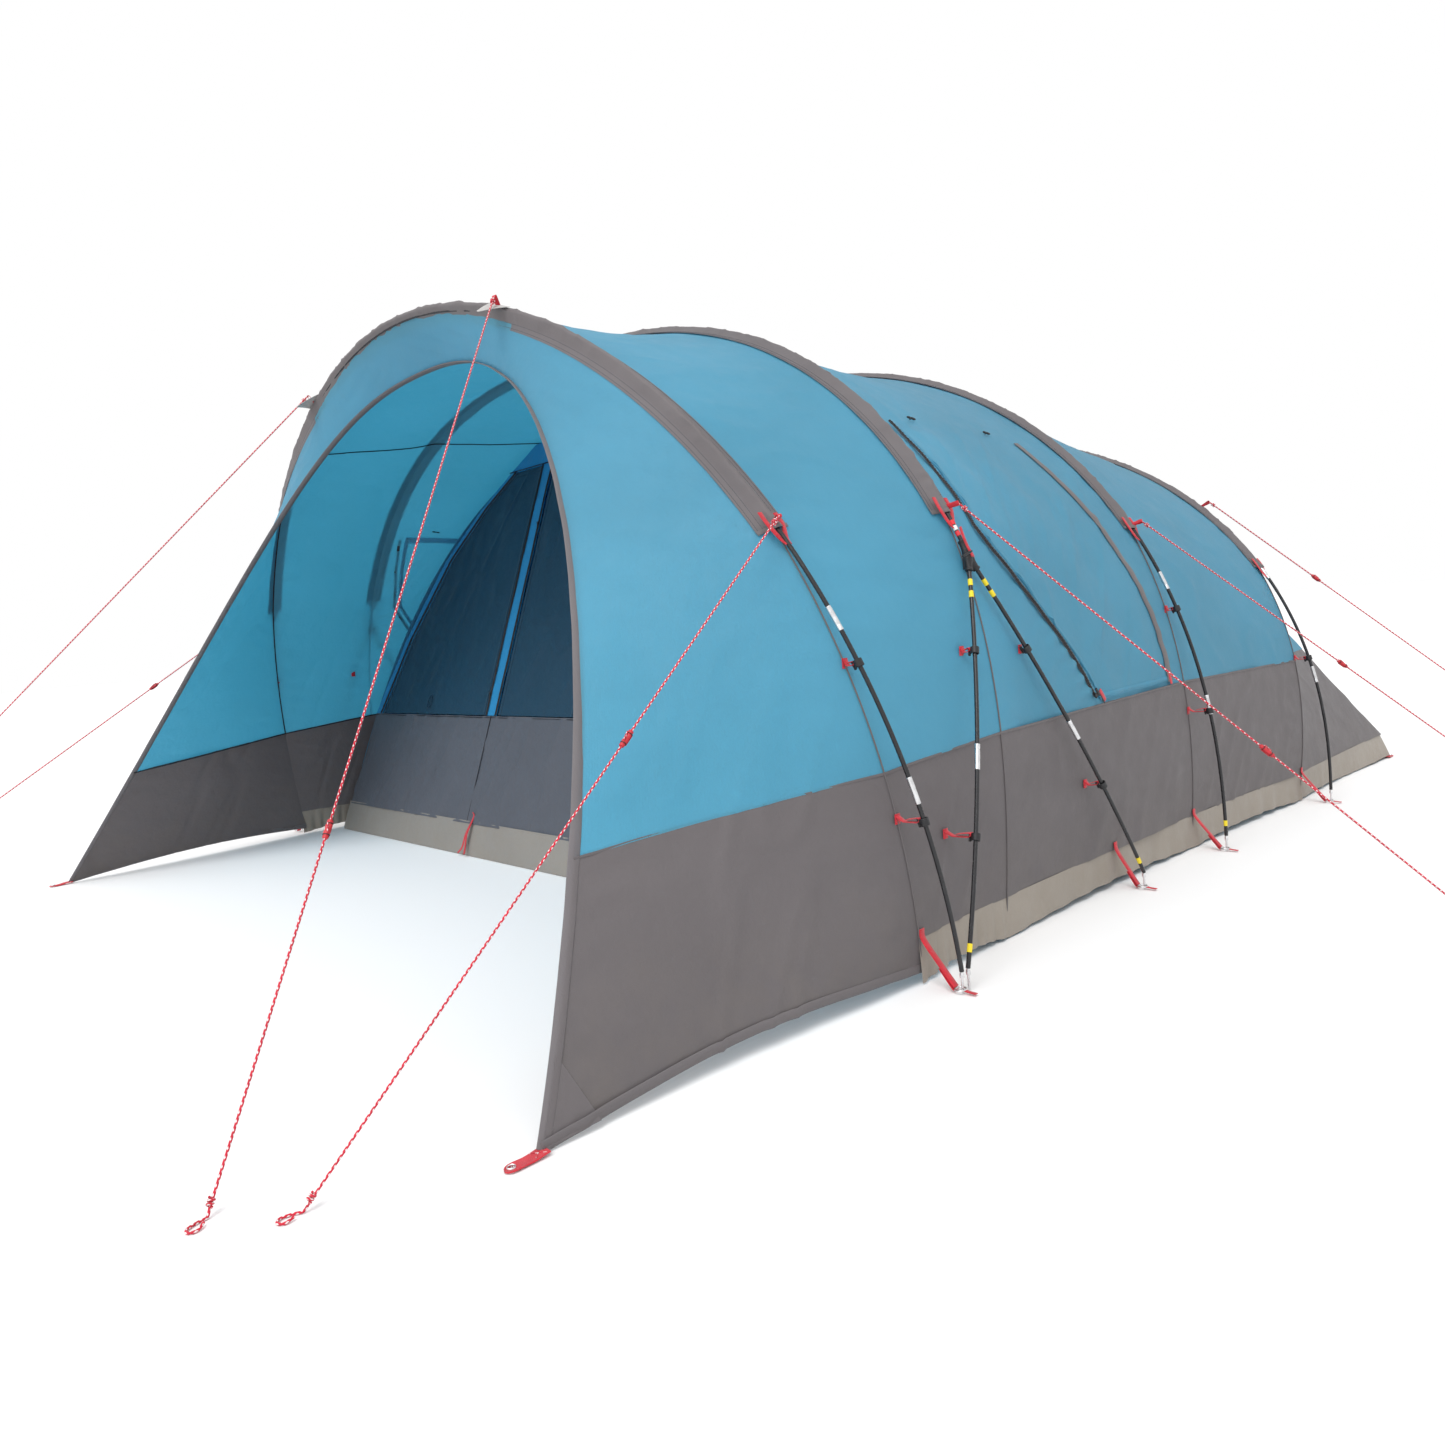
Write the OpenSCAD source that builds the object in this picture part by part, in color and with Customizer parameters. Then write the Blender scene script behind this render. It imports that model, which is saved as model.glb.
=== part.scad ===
// Family tunnel tent: four pole arches, a fly sheet with an open porch,
// and an inner tent hung inside it. +Z is up, the porch opens towards -Y.
// The origin is on the ground, under the middle of the tent.

/* [Arches] */
// Distance along Y of each arch's feet from the middle of the tent
arch_y = [-1270, -885, 257, 1157]; // [-1300:10:1300]
// Half of each arch's width at the ground
arch_half_w = [1936, 1927, 1952, 2009]; // [1900:1:2050]
// Height of each arch
arch_h = [1950, 1908, 1894, 1677]; // [1600:1:2000]
// Squareness of each arch's curve, where 2 is an ellipse
arch_n = [1.96, 2.49, 2.29, 2.28]; // [1.9:0.01:2.6]
// Lean of each arch along Y for each millimetre of height
arch_lean = [-0.127, 0.01, -0.01, 0.084]; // [-0.15:0.001:0.1]
// Height at which each arch's sleeve ends
sleeve_end_z = [1090, 1120, 1085, 926]; // [900:5:1150]

/* [Poles] */
// Diameter of the fibreglass pole
pole_d = 11; // [10:0.5:12]
// Spacing of the ferrules along a pole
section_len = 440; // [420:1:460]
// Diameter of the steel ferrule
ferrule_d = 13.6; // [13:0.1:14]
// Length of the steel ferrule
ferrule_len = 64; // [50:1:80]
// Height of the hub where the second arch's legs divide
hub_z = 1000; // [980:5:1010]
// Distance between the two legs of the second arch at the ground
leg_spread = 979; // [950:1:1000]

/* [Fly sheet] */
// Thickness of a cloth panel
cloth = 2; // [1.5:0.5:3]
// Height of the seam between the blue and the grey cloth at each arch
seam_z = [505, 540, 560, 550]; // [480:5:580]
// Height of the same seam at the edge of the porch opening
opening_seam_z = 440; // [420:5:460]
// Top of the mud skirt
skirt_top = 108; // [100:1:120]
// How far the cloth hangs inside the pole at ground level
foot_inset = 115; // [105:1:120]
// Inward sag of the roof between two arches
roof_sag = 30; // [20:1:40]
// Half of the porch opening's width at the ground
opening_half_w = 1760; // [1740:1:1770]
// Height of the porch opening
opening_h = 1790; // [1770:1:1800]
// Distance of the porch corners in front of the first arch
corner_reach = 1026; // [1000:1:1040]
// Distance of the rear corners behind the last arch
rear_reach = 1173; // [1150:1:1180]

/* [Inner tent] */
// Backward lean of the inner tent's front wall, in degrees
front_lean = 20.8; // [20:0.1:22]
// Half of the inner tent's width at the floor
inner_half_w = 1740; // [1700:1:1750]
// Height of the groundsheet's walls
tub_h = 130; // [120:1:150]
// Height of the bottom edge of the inner doors
door_foot_z = 556; // [540:1:560]
// Height of the top of the inner doors
door_top_z = 1640; // [1600:5:1660]
// Width of the blue strip between two inner doors
strip_w = 90; // [80:1:100]

/* [Guy lines] */
// Diameter of a guy line
guy_d = 5; // [4:0.5:5]
// Length of a line adjuster
adjuster_len = 42; // [38:1:46]

/* [Hidden] */

fly_blue = [0.42, 0.71, 0.84];
fly_grey = [0.47, 0.45, 0.44];
trim_grey = [0.54, 0.52, 0.52];
skirt_grey = [0.59, 0.56, 0.53];
navy = [0.08, 0.22, 0.31];
strip_blue = [0.16, 0.52, 0.74];
pole_black = [0.1, 0.1, 0.11];
webbing_red = [0.78, 0.13, 0.18];

seam_gap = 2;
hem_gap = 18;
seam_u = 0.004;
sleeve_half_w = 36;
sleeve_half_t = 12;
panel_edge = sleeve_half_w + seam_gap;
foot_z = 52;

// ---------- curves ----------

function sgn(v) = v < 0 ? -1 : 1;
function mix(a, b, f) = a + (b - a) * f;
function unit(v) = v / norm(v);

// Point on an arch's pole at angle t, from the right foot at 0 to the left at 180
function arch_pt(i, t) =
    let (c = cos(t), s = sin(t), p = 2 / arch_n[i], z = arch_h[i] * pow(abs(s), p))
    [arch_half_w[i] * sgn(c) * pow(abs(c), p), arch_y[i] + arch_lean[i] * z, z];

function arch_x(i, z) = arch_half_w[i] * pow(1 - pow(z / arch_h[i], arch_n[i]), 1 / arch_n[i]);
function angle_at(i, z) = asin(pow(z / arch_h[i], arch_n[i] / 2));

// The cloth lies just under the pole in the sleeve, and hangs inside it below
function inset(i, z) =
    sleeve_half_t + max(0, 1 - z / sleeve_end_z[i]) * (foot_inset - sleeve_half_t);

function wall_pt(i, z) = [arch_x(i, z) - inset(i, z), arch_y[i] + arch_lean[i] * z, z];

function cloth_pt(i, t) =
    let (p = arch_pt(i, t), d = unit([0, p.y, 0.45 * arch_h[i]] - p))
    p.z < sleeve_end_z[i] ? [sgn(p.x) * wall_pt(i, p.z).x, p.y, p.z] : p + d * sleeve_half_t;

function opening_y(z) = arch_y[0] - corner_reach + 0.576 * z - 0.000051 * z * z;
function opening_x(z) = opening_half_w * pow(1 - pow(z / opening_h, 1.05), 1 / 2.4);
function opening_pt(t) =
    let (c = cos(t), z = opening_h * pow(abs(sin(t)), 2 / 1.05))
    [opening_half_w * sgn(c) * pow(abs(c), 2 / 2.4), opening_y(z), z];
function opening_angle(z) = asin(pow(z / opening_h, 1.05 / 2));

// Edge of the back wall on the ground: a straight side, a corner, a straight back
rear_half_w = arch_half_w[3] - foot_inset + 4;
function back_edge(t) =
    let (c = cos(t), s = sin(t), m = max(abs(c), abs(s)))
    [rear_half_w * c / m, arch_y[3] + rear_reach * s / m, skirt_top];
// Angle on the back edge that belongs to an angle on the last arch
function back_angle(t, low) =
    t < 45 ? (t - low) / (45 - low) * 45 :
    t > 135 ? 180 - (180 - t - low) / (45 - low) * 45 : t;

// Path of points re-spaced evenly along its length
function run_length(p) = [for (i = 0, s = 0; i < len(p); s = s + norm(p[min(i + 1, len(p) - 1)] - p[i]), i = i + 1) s];
function along(p, len_at, s) = [for (k = [0:2]) lookup(s, [for (i = [0:len(p) - 1]) [len_at[i], p[i][k]]])];

// ---------- closed solids from points ----------

// A sheet of cloth: a grid of points on its outer face, thickened inwards
module sheet(grid, th = cloth, flip = false) {
    m = len(grid);
    n = len(grid[0]);
    outer = [for (i = [0:m - 1]) for (j = [0:n - 1]) grid[i][j]];
    inner = [for (i = [0:m - 1]) for (j = [0:n - 1])
        let (du = grid[min(i + 1, m - 1)][j] - grid[max(i - 1, 0)][j],
             dv = grid[i][min(j + 1, n - 1)] - grid[i][max(j - 1, 0)],
             w = unit(cross(du, dv)))
        grid[i][j] + w * (flip ? -th : th)];
    function id(i, j) = i * n + j;
    k = m * n;
    face_out = [for (i = [0:m - 2]) for (j = [0:n - 2]) each [
        [id(i, j), id(i, j + 1), id(i + 1, j + 1)],
        [id(i, j), id(i + 1, j + 1), id(i + 1, j)]]];
    face_in = [for (f = face_out) [f[2] + k, f[1] + k, f[0] + k]];
    rim = concat([for (j = [0:n - 1]) id(0, j)], [for (i = [1:m - 1]) id(i, n - 1)],
        [for (j = [n - 2:-1:0]) id(m - 1, j)], [for (i = [m - 2:-1:1]) id(i, 0)]);
    r = len(rim);
    face_rim = [for (q = [0:r - 1]) let (a = rim[q], b = rim[(q + 1) % r]) each [[b, a, a + k], [b, a + k, b + k]]];
    faces = concat(face_out, face_in, face_rim);
    polyhedron(concat(outer, inner), flip ? [for (f = faces) [f[2], f[1], f[0]]] : faces);
}

// Rings of points around a path. side_dir is a fixed direction across the path
function ring_axes(p, i, across) =
    let (d = unit(p[min(i + 1, len(p) - 1)] - p[max(i - 1, 0)]), w = unit(across - d * (across * d)))
    [w, cross(d, w)];
function ring(p, i, across, a, b, sides) =
    let (e = ring_axes(p, i, across))
    [for (q = [0:sides - 1]) p[i] + e[0] * a * cos(360 * (q + 0.5) / sides) + e[1] * b * sin(360 * (q + 0.5) / sides)];

// A solid rod of elliptical section along a path
module rod(p, a, b, across, sides = 8) {
    m = len(p);
    pts = [for (i = [0:m - 1]) each ring(p, i, across, a, b, sides)];
    skin = [for (i = [0:m - 2]) for (q = [0:sides - 1])
        let (r = (q + 1) % sides)
        each [[i * sides + q, (i + 1) * sides + r, i * sides + r],
              [i * sides + q, (i + 1) * sides + q, (i + 1) * sides + r]]];
    polyhedron(pts, concat(skin, [[for (q = [0:sides - 1]) q]],
        [[for (q = [sides - 1:-1:0]) (m - 1) * sides + q]]));
}

// A hollow tube of elliptical section along a path
module hose(p, a, b, wall, across, sides = 10) {
    m = len(p);
    out = [for (i = [0:m - 1]) each ring(p, i, across, a, b, sides)];
    bore = [for (i = [0:m - 1]) each ring(p, i, across, a - wall, b - wall, sides)];
    k = m * sides;
    skin = [for (i = [0:m - 2]) for (q = [0:sides - 1])
        let (r = (q + 1) % sides, a0 = i * sides)
        each [[a0 + q, a0 + sides + r, a0 + r], [a0 + q, a0 + sides + q, a0 + sides + r],
              [k + a0 + r, k + a0 + sides + r, k + a0 + q], [k + a0 + sides + r, k + a0 + sides + q, k + a0 + q]]];
    e = (m - 1) * sides;
    caps = [for (q = [0:sides - 1])
        let (r = (q + 1) % sides)
        each [[q, r, k + q], [r, k + r, k + q],
              [e + r, e + q, k + e + q], [e + r, k + e + q, k + e + r]]];
    polyhedron(concat(out, bore), concat(skin, caps));
}

// Puts a child drawn along +Z from the origin onto the line from a towards b
module aim(a, b) {
    d = b - a;
    translate(a) rotate([0, acos(d.z / norm(d)), atan2(d.y, d.x)]) children();
}

// A flat tape from a to b
module tape(a, b, w, th = 2, turn = 0) {
    aim(a, b) rotate([0, 0, turn]) translate([-th / 2, -w / 2, 0]) cube([th, w, norm(b - a)]);
}

// ---------- poles ----------

function arch_path(i) = [for (t = [0:2:180]) arch_pt(i, t)];

// The two legs that stand under each hub of the second arch
hub = [arch_x(1, hub_z) - 2, arch_y[1] + arch_lean[1] * hub_z, hub_z];
front_foot = [arch_half_w[0], arch_y[0] + 18, foot_z];
rear_foot = [arch_half_w[1] - 8, arch_y[0] + leg_spread, foot_z];
function leg_path(foot, bow) = [for (f = [0:0.1:1]) mix(hub, foot, f) + [bow * 4 * f * (1 - f), 0, 0]];
function flipped(q) = [-q.x, q.y, q.z];
function mirrored(p) = [for (q = p) flipped(q)];

// Pole sections with a gap at each ferrule, from length s0 to s1 of a path
module pole(path, s0, s1) {
    at = run_length(path);
    count = round((s1 - s0) / section_len);
    step = (s1 - s0) / count;
    for (k = [0:count - 1]) {
        a = s0 + k * step + (k == 0 ? 0 : ferrule_len / 2 + 0.4);
        b = s0 + (k + 1) * step - (k == count - 1 ? 0 : ferrule_len / 2 + 0.4);
        rings = 4;
        rod([for (j = [0:rings]) along(path, at, mix(a, b, j / rings))],
            pole_d / 2, pole_d / 2, [0, 1, 0.02]);
    }
}

module pole_ferrules(path, s0, s1) {
    at = run_length(path);
    count = round((s1 - s0) / section_len);
    step = (s1 - s0) / count;
    for (k = [1:count - 1]) {
        a = along(path, at, s0 + k * step - ferrule_len / 2);
        b = along(path, at, s0 + k * step + ferrule_len / 2);
        aim(a, b) cylinder(h = norm(b - a), d = ferrule_d, $fn = 24);
    }
}

hub_reach = 46;
socket_gap = 2;
leg_bow = 26;
function path_len(p) = run_length(p)[len(p) - 1];
function hub_path() = [for (t = [angle_at(1, hub_z):2:180 - angle_at(1, hub_z) + 0.5]) arch_pt(1, min(t, 180 - angle_at(1, hub_z)))];

module arch_1_pole() { color(pole_black) pole(arch_path(0), foot_z, path_len(arch_path(0)) - foot_z); }
module arch_2_pole() { color(pole_black) pole(hub_path(), hub_reach, path_len(hub_path()) - hub_reach); }
module arch_3_pole() { color(pole_black) pole(arch_path(2), foot_z, path_len(arch_path(2)) - foot_z); }
module arch_4_pole() { color(pole_black) pole(arch_path(3), foot_z, path_len(arch_path(3)) - foot_z); }

module arch_2_legs() {
    color(pole_black)
    for (foot = [front_foot, rear_foot]) {
        right = leg_path(foot, leg_bow);
        for (p = [right, mirrored(right)]) pole(p, hub_reach, path_len(p));
    }
}

module ferrules() {
    color("silver") {
        for (i = [0, 2, 3]) pole_ferrules(arch_path(i), foot_z, path_len(arch_path(i)) - foot_z);
        pole_ferrules(hub_path(), hub_reach, path_len(hub_path()) - hub_reach);
        for (foot = [front_foot, rear_foot]) {
            right = leg_path(foot, leg_bow);
            for (p = [right, mirrored(right)]) pole_ferrules(p, hub_reach, path_len(p));
        }
    }
}

// Moulded Y-piece: a ball with three sockets
module leg_hub() {
    top = arch_pt(1, angle_at(1, hub_z) + 2);
    fore = leg_path(front_foot, leg_bow)[1];
    aft = leg_path(rear_foot, leg_bow)[1];
    translate(hub) sphere(r = 15, $fn = 32);
    for (p = [top, fore, aft]) aim(hub, p) cylinder(h = hub_reach - socket_gap, r = 9, $fn = 24);
}

module leg_hubs() {
    color(pole_black) {
        leg_hub();
        mirror([1, 0, 0]) leg_hub();
    }
}

// Foot of every pole on the right side: first arch, front leg, rear leg, third, fourth
feet = [
    arch_pt(0, angle_at(0, foot_z)), front_foot, rear_foot,
    arch_pt(2, angle_at(2, foot_z)), arch_pt(3, angle_at(3, foot_z))
];
pin_r = 3;
ring_r = 13;
ring_wire = 2.2;

module pole_end_pins() {
    color("silver")
    for (m = [0, 1]) mirror([m, 0, 0])
    for (f = feet) translate([f.x, f.y, 3]) {
        cylinder(h = foot_z - 8, r = pin_r, $fn = 24);
        translate([0, 0, foot_z - 18]) cylinder(h = 10, r = 5.4, $fn = 24);
    }
}

module foot_rings() {
    color("silver")
    for (m = [0, 1]) mirror([m, 0, 0])
    for (f = strap_feet) translate([f.x - 6, f.y, 9])
        rotate_extrude($fn = 48) translate([ring_r, 0]) circle(r = ring_wire, $fn = 16);
}

// ---------- hardware on the poles ----------

// Clips: which pole, and how high. 4 is the front leg and 5 is the rear leg
clips = [[0, 764], [0, 400], [2, 805], [2, 465], [3, 560], [4, 760], [4, 330], [5, 745], [5, 340]];

function leg_at(foot, z) = let (f = (hub_z - z) / (hub_z - foot_z)) mix(hub, foot, f) + [leg_bow * 4 * f * (1 - f), 0, 0];
function pole_at(kind, z) =
    kind == 4 ? leg_at(front_foot, z) : kind == 5 ? leg_at(rear_foot, z) :
    [arch_x(kind, z), arch_y[kind] + arch_lean[kind] * z, z];
// Cloth wall at any place along Y, between the first arch and the last
function wall_x(y, z) =
    let (ys = [for (i = [0:3]) arch_y[i] + arch_lean[i] * z], xs = [for (i = [0:3]) wall_pt(i, z).x])
    lookup(y, [for (i = [0:3]) [ys[i], xs[i]]]);

clip_h = 20;
clip_bore = ferrule_d / 2 + 1.6;
module pole_clips() {
    color(pole_black)
    for (m = [0, 1]) mirror([m, 0, 0])
    for (c = clips) {
        p = pole_at(c[0], c[1] - clip_h / 2);
        q = pole_at(c[0], c[1] + clip_h / 2);
        aim(p, q) difference() {
            union() {
                cylinder(h = clip_h, r = clip_bore + 2.4, $fn = 24);
                rotate([0, 0, 180]) translate([6, -5, 3]) cube([10, 10, clip_h - 6]);
            }
            translate([0, 0, -1]) cylinder(h = clip_h + 2, r = clip_bore, $fn = 8);
        }
    }
}

module clip_tapes() {
    color(webbing_red)
    for (m = [0, 1]) mirror([m, 0, 0])
    for (c = clips) {
        p = pole_at(c[0], c[1]);
        a = [p.x - 18, p.y, p.z];
        b = [wall_x(p.y, p.z) + 2.5, p.y, p.z];
        if (a.x > b.x + 2) tape(b, a, 16, 2, 90);
    }
}

strap_feet = [feet[0], feet[2], feet[3], feet[4]];
module foot_straps() {
    color(webbing_red)
    for (m = [0, 1]) mirror([m, 0, 0])
    for (f = strap_feet) {
        top = [wall_x(f.y, skirt_top) + 9, f.y, skirt_top];
        tape(top, [f.x - 23, f.y, 12], 20);
    }
}

// ---------- sleeves and fly sheet ----------

module sleeve(i) {
    t0 = angle_at(i, sleeve_end_z[i]);
    steps = 30;
    color(trim_grey)
    hose([for (k = [0:steps]) arch_pt(i, mix(t0, 180 - t0, k / steps))],
        sleeve_half_w, sleeve_half_t - 1, 2, [0, 1, 0.02]);
}
module sleeve_1() { sleeve(0); }
module sleeve_2() { sleeve(1); }
module sleeve_3() { sleeve(2); }
module sleeve_4() { sleeve(3); }

// A roof panel from arch i to arch j, across the width fractions w0 to w1
function roof_pt(i, j, u, w) =
    let (ti = angle_at(i, seam_z[i]), tj = angle_at(j, seam_z[j]),
         a = cloth_pt(i, mix(ti, 180 - ti, w)), b = cloth_pt(j, mix(tj, 180 - tj, w)),
         p = mix(a, b, u), d = unit([0, p.y, 700] - p), droop = pow(sin(180 * w), 2) + 0.15)
    p + d * roof_sag * 4 * u * (1 - u) * droop;

// Fraction of a bay that its sleeve takes up; below the sleeve the cloth runs to the seam
function bay_edge(i, z, wide) = z > sleeve_end_z[i] - 130 ? wide : seam_u;
module roof_panel(i, j, wide, w0 = 0, w1 = 1, cols = 24, rows = 5) {
    sheet([for (r = [0:rows]) [for (c = [0:cols])
        let (w = mix(w0, w1, c / cols), z = roof_pt(i, j, 0.5, w).z)
        roof_pt(i, j, mix(bay_edge(i, z, wide), 1 - bay_edge(j, z, wide), r / rows), w)]]);
}

module fly_roof_front() { color(fly_blue) roof_panel(0, 1, 0.075); }
module fly_roof_rear() { color(fly_blue) roof_panel(2, 3, 0.045); }

// Side window: the edges of its flap as fractions between the second and third arch
flap_w_top = 0.205;
flap_w_foot = 0.003;
function flap_u0(z) = lookup(z, [[540, 0.5], [700, 0.4], [880, 0.26], [1080, 0.12], [1400, 0.08]]);
function flap_u1(z) = lookup(z, [[540, 0.93], [780, 0.92], [1090, 0.84], [1400, 0.78]]);
window_gap = 0.005;

// Cloth between fractions that vary with height, on one side of the middle bay
module side_strip(u_low, u_high, w0, w1, rows, cols = 8) {
    grid = [for (r = [0:rows]) [for (c = [0:cols])
        let (w = mix(w0, w1, c / cols), z = roof_pt(1, 2, 0.5, w).z)
        roof_pt(1, 2, mix(u_low(z), u_high(z), r / rows), w)]];
    sheet(grid);
}

module middle_sides() {
    edge0 = function (z) bay_edge(1, z, 0.036);
    edge1 = function (z) 1 - bay_edge(2, z, 0.036);
    side_strip(edge0, function (z) flap_u0(z) - window_gap, 0, flap_w_top, 2);
    side_strip(function (z) flap_u1(z) + window_gap, edge1, 0, flap_w_top, 1);
}

module fly_roof_middle() {
    color(fly_blue) {
        roof_panel(1, 2, 0.036, flap_w_top + 0.004, 1 - flap_w_top - 0.004, 18, 6);
        middle_sides();
        mirror([1, 0, 0]) middle_sides();
    }
}

module window_flap() {
    color(fly_blue)
    side_strip(function (z) flap_u0(z) + window_gap, function (z) flap_u1(z) - window_gap,
        flap_w_foot, flap_w_top - 0.002, 5, 10);
}
module window_flap_right() { window_flap(); }
module window_flap_left() { mirror([1, 0, 0]) window_flap(); }

// Zip along the front edge of each window flap, proud of the cloth
zip_out = 10;
zip_w = [0.006, 0.04, 0.075, 0.11, 0.14, 0.17, 0.2];
function zip_pt(w, out) =
    let (p = roof_pt(1, 2, 0.5, w), q = roof_pt(1, 2, flap_u0(p.z) - 0.018, w))
    q + out * unit([q.x, 0, q.z - 700]);
module window_zips() {
    color(pole_black)
    for (m = [0, 1]) mirror([m, 0, 0])
        rod([for (w = zip_w) zip_pt(w, zip_out)], 7, 2.5, [0, 1, 0.02], 8);
}

slider_len = 26;
slider_out = zip_out + 12;
zip_low = zip_pt(zip_w[0], slider_out);
zip_high = zip_pt(zip_w[1], slider_out);
module zip_slider() {
    color(pole_black)
    aim(zip_low, zip_high) {
        translate([-3, -6, 2]) cube([6, 12, slider_len]);
        translate([-3, -4, -30]) cube([3, 8, 32]);
    }
}
module zip_slider_right() { zip_slider(); }
module zip_slider_left() { mirror([1, 0, 0]) zip_slider(); }

module fly_hood() {
    t0 = angle_at(0, seam_z[0]);
    o0 = opening_angle(opening_seam_z);
    rows = 6;
    cols = 28;
    color(fly_blue)
    sheet([for (r = [0:rows]) [for (c = [0:cols])
        let (w = c / cols, a = cloth_pt(0, mix(t0, 180 - t0, w)), b = opening_pt(mix(o0, 180 - o0, w)),
             d = unit(b - a), e = norm(b - a))
        a + d * mix(panel_edge, e - hem_gap, r / rows)]], cloth, true);
}

// Angles across the back, from low on one side to low on the other, with a column on each corner
function back_columns(low) = concat([for (k = [0:5]) mix(low, 45, k / 6)], [for (k = [0:16]) mix(45, 135, k / 16)],
    [for (k = [1:6]) mix(135, 180 - low, k / 6)]);

module fly_back() {
    t0 = angle_at(3, seam_z[3]);
    color(fly_blue)
    sheet([for (r = [0:6]) [for (t = back_columns(angle_at(3, seam_z[3] + 50)))
        let (a = cloth_pt(3, t), b = back_edge(back_angle(t, t0)),
             f = (a.z - seam_z[3] - 2 * seam_gap) / (a.z - b.z), e = norm(b - a),
             u0 = panel_edge / e)
        mix(a, b, mix(u0, max(f, u0 + 0.02), r / 6))]]);
}

// Grey wall below the seam, along one side from the first arch to the last
module fly_wall() {
    stations = [for (i = [0:2]) for (k = [0:3]) i + k / 4];
    all = concat(stations, [3]);
    color(fly_grey)
    sheet([for (s = all) [for (c = [0:4])
        let (i = min(floor(s), 2), f = s - i, low = skirt_top + seam_gap,
             za = mix(low, seam_z[i] - seam_gap, c / 4), zb = mix(low, seam_z[i + 1] - seam_gap, c / 4),
             p = mix(wall_pt(i, za), wall_pt(i + 1, zb), f))
        p - [4 * 4 * f * (1 - f), 0, 0] + (s == 0 ? [0, 3, 0] : s == 3 ? [0, -3, 0] : [0, 0, 0])]]);
}
module fly_wall_right() { fly_wall(); }
module fly_wall_left() { mirror([1, 0, 0]) fly_wall(); }

// Grey wall of the rear, from the last arch round both corners
module fly_wall_back() {
    t0 = angle_at(3, seam_z[3]);
    color(fly_grey)
    sheet([for (r = [0:3]) [for (t = back_columns(t0))
        let (a = cloth_pt(3, t), b = back_edge(back_angle(t, t0)),
             f = (a.z - seam_z[3]) / max(a.z - b.z, 1), top = mix(a, b, min(max(f, 0), 1)),
             p = mix(top, b + [0, 0, seam_gap], r / 3))
        p + (t == t0 || t == 180 - t0 ? [0, 7, 0] : [0, 0, 0])]]);
}

// Grey wing from the first arch to the porch corner
module porch_wing() {
    color(fly_grey)
    sheet([for (k = [0:6]) [for (c = [0:5])
        let (a = wall_pt(0, mix(30, seam_z[0] - seam_gap, c / 5)) + [0, -3, 0],
             zo = mix(4, opening_seam_z - seam_gap, c / 5),
             b = [opening_x(zo), opening_y(zo), zo], e = norm(b - a))
        mix(a, b, (e - hem_gap) / e * k / 6)]], cloth, true);
}
module porch_wing_right() { porch_wing(); }
module porch_wing_left() { mirror([1, 0, 0]) porch_wing(); }

// Mud skirts: the lower edge lies on the ground at each foot and lifts between
module side_skirt() {
    sheet([for (i = [0:2]) for (k = [0:3 + (i == 2 ? 1 : 0)]) [for (c = [0:2])
        let (f = k / 4, low = 4 + 16 * sin(180 * f), z = mix(low, skirt_top, c / 2),
             p = mix(wall_pt(i, z), wall_pt(i + 1, z), f))
        p + (i == 0 && k == 0 ? [0, 3, 0] : i == 2 && k == 4 ? [0, -3, 0] : [0, 0, 0])]]);
}
module back_skirt() {
    t_list = [0, 15, 30, 45, 60, 75, 90, 105, 120, 135, 150, 165, 180];
    sheet([for (k = [0:len(t_list) - 1]) [for (c = [0:2])
        let (b = back_edge(t_list[k]), z = mix(4, skirt_top, c / 2))
        [b.x, b.y + (k == 0 || k == len(t_list) - 1 ? 3 : 0), z]]]);
}
module mud_skirts() {
    color(skirt_grey) {
        side_skirt();
        mirror([1, 0, 0]) side_skirt();
        back_skirt();
    }
}

binding_half_w = 12;
module opening_binding() {
    steps = 44;
    color(trim_grey)
    rod([for (k = [0:steps]) let (t = mix(4.5, 175.5, k / steps)) opening_pt(t) + [0, 0, 3]],
        binding_half_w, 2.5, [1, 0.4, 0.1], 8);
}

// ---------- webbing at the ground and on the sleeves ----------

tab_len = 84;
eyelet_r = 6;
module corner_tab() {
    difference() {
        union() {
            translate([-14, 0, 0]) cube([28, tab_len - 14, 4]);
            translate([0, tab_len - 14, 0]) cylinder(h = 4, r = 14, $fn = 48);
        }
        translate([0, tab_len - 14, -1]) cylinder(h = 6, r = eyelet_r, $fn = 48);
    }
}
tent_half_len = 2370;
module corner_tabs() {
    color(webbing_red)
    for (m = [0, 1]) mirror([m, 0, 0]) {
        translate([opening_half_w, -tent_half_len + tab_len, 2]) rotate([0, 0, 180]) corner_tab();
        translate([rear_half_w + 30, tent_half_len - tab_len, 2]) corner_tab();
    }
}

// Loops that hold the guy lines: two at the top of the first arch, one at each sleeve end
top_loop = arch_pt(0, angle_at(0, 1826));
function loop_at(i) = arch_pt(i, angle_at(i, sleeve_end_z[i] + (i == 3 ? 270 : 12)));
loop_out = 20;
loop_places = [
    [top_loop, [0.25, -0.55, 0.8]], [loop_at(0), [0.9, -0.4, 0.3]], [loop_at(1), [0.95, 0.3, 0.2]],
    [loop_at(2), [0.95, 0.2, 0.25]], [loop_at(3), [0.85, 0.3, 0.45]]
];
module guy_loops() {
    color(webbing_red)
    for (m = [0, 1]) mirror([m, 0, 0])
    for (l = loop_places) {
        out = unit(l[1]);
        aim(l[0] + out * 14, l[0] + out * (14 + loop_out)) {
            translate([-1.5, -9, 0]) cube([3, 18, loop_out]);
        }
    }
}

// ---------- inner tent ----------

front_y = arch_y[0] + 150;
lean_run = tan(front_lean);
function front_s(z) = z / cos(front_lean);
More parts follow.
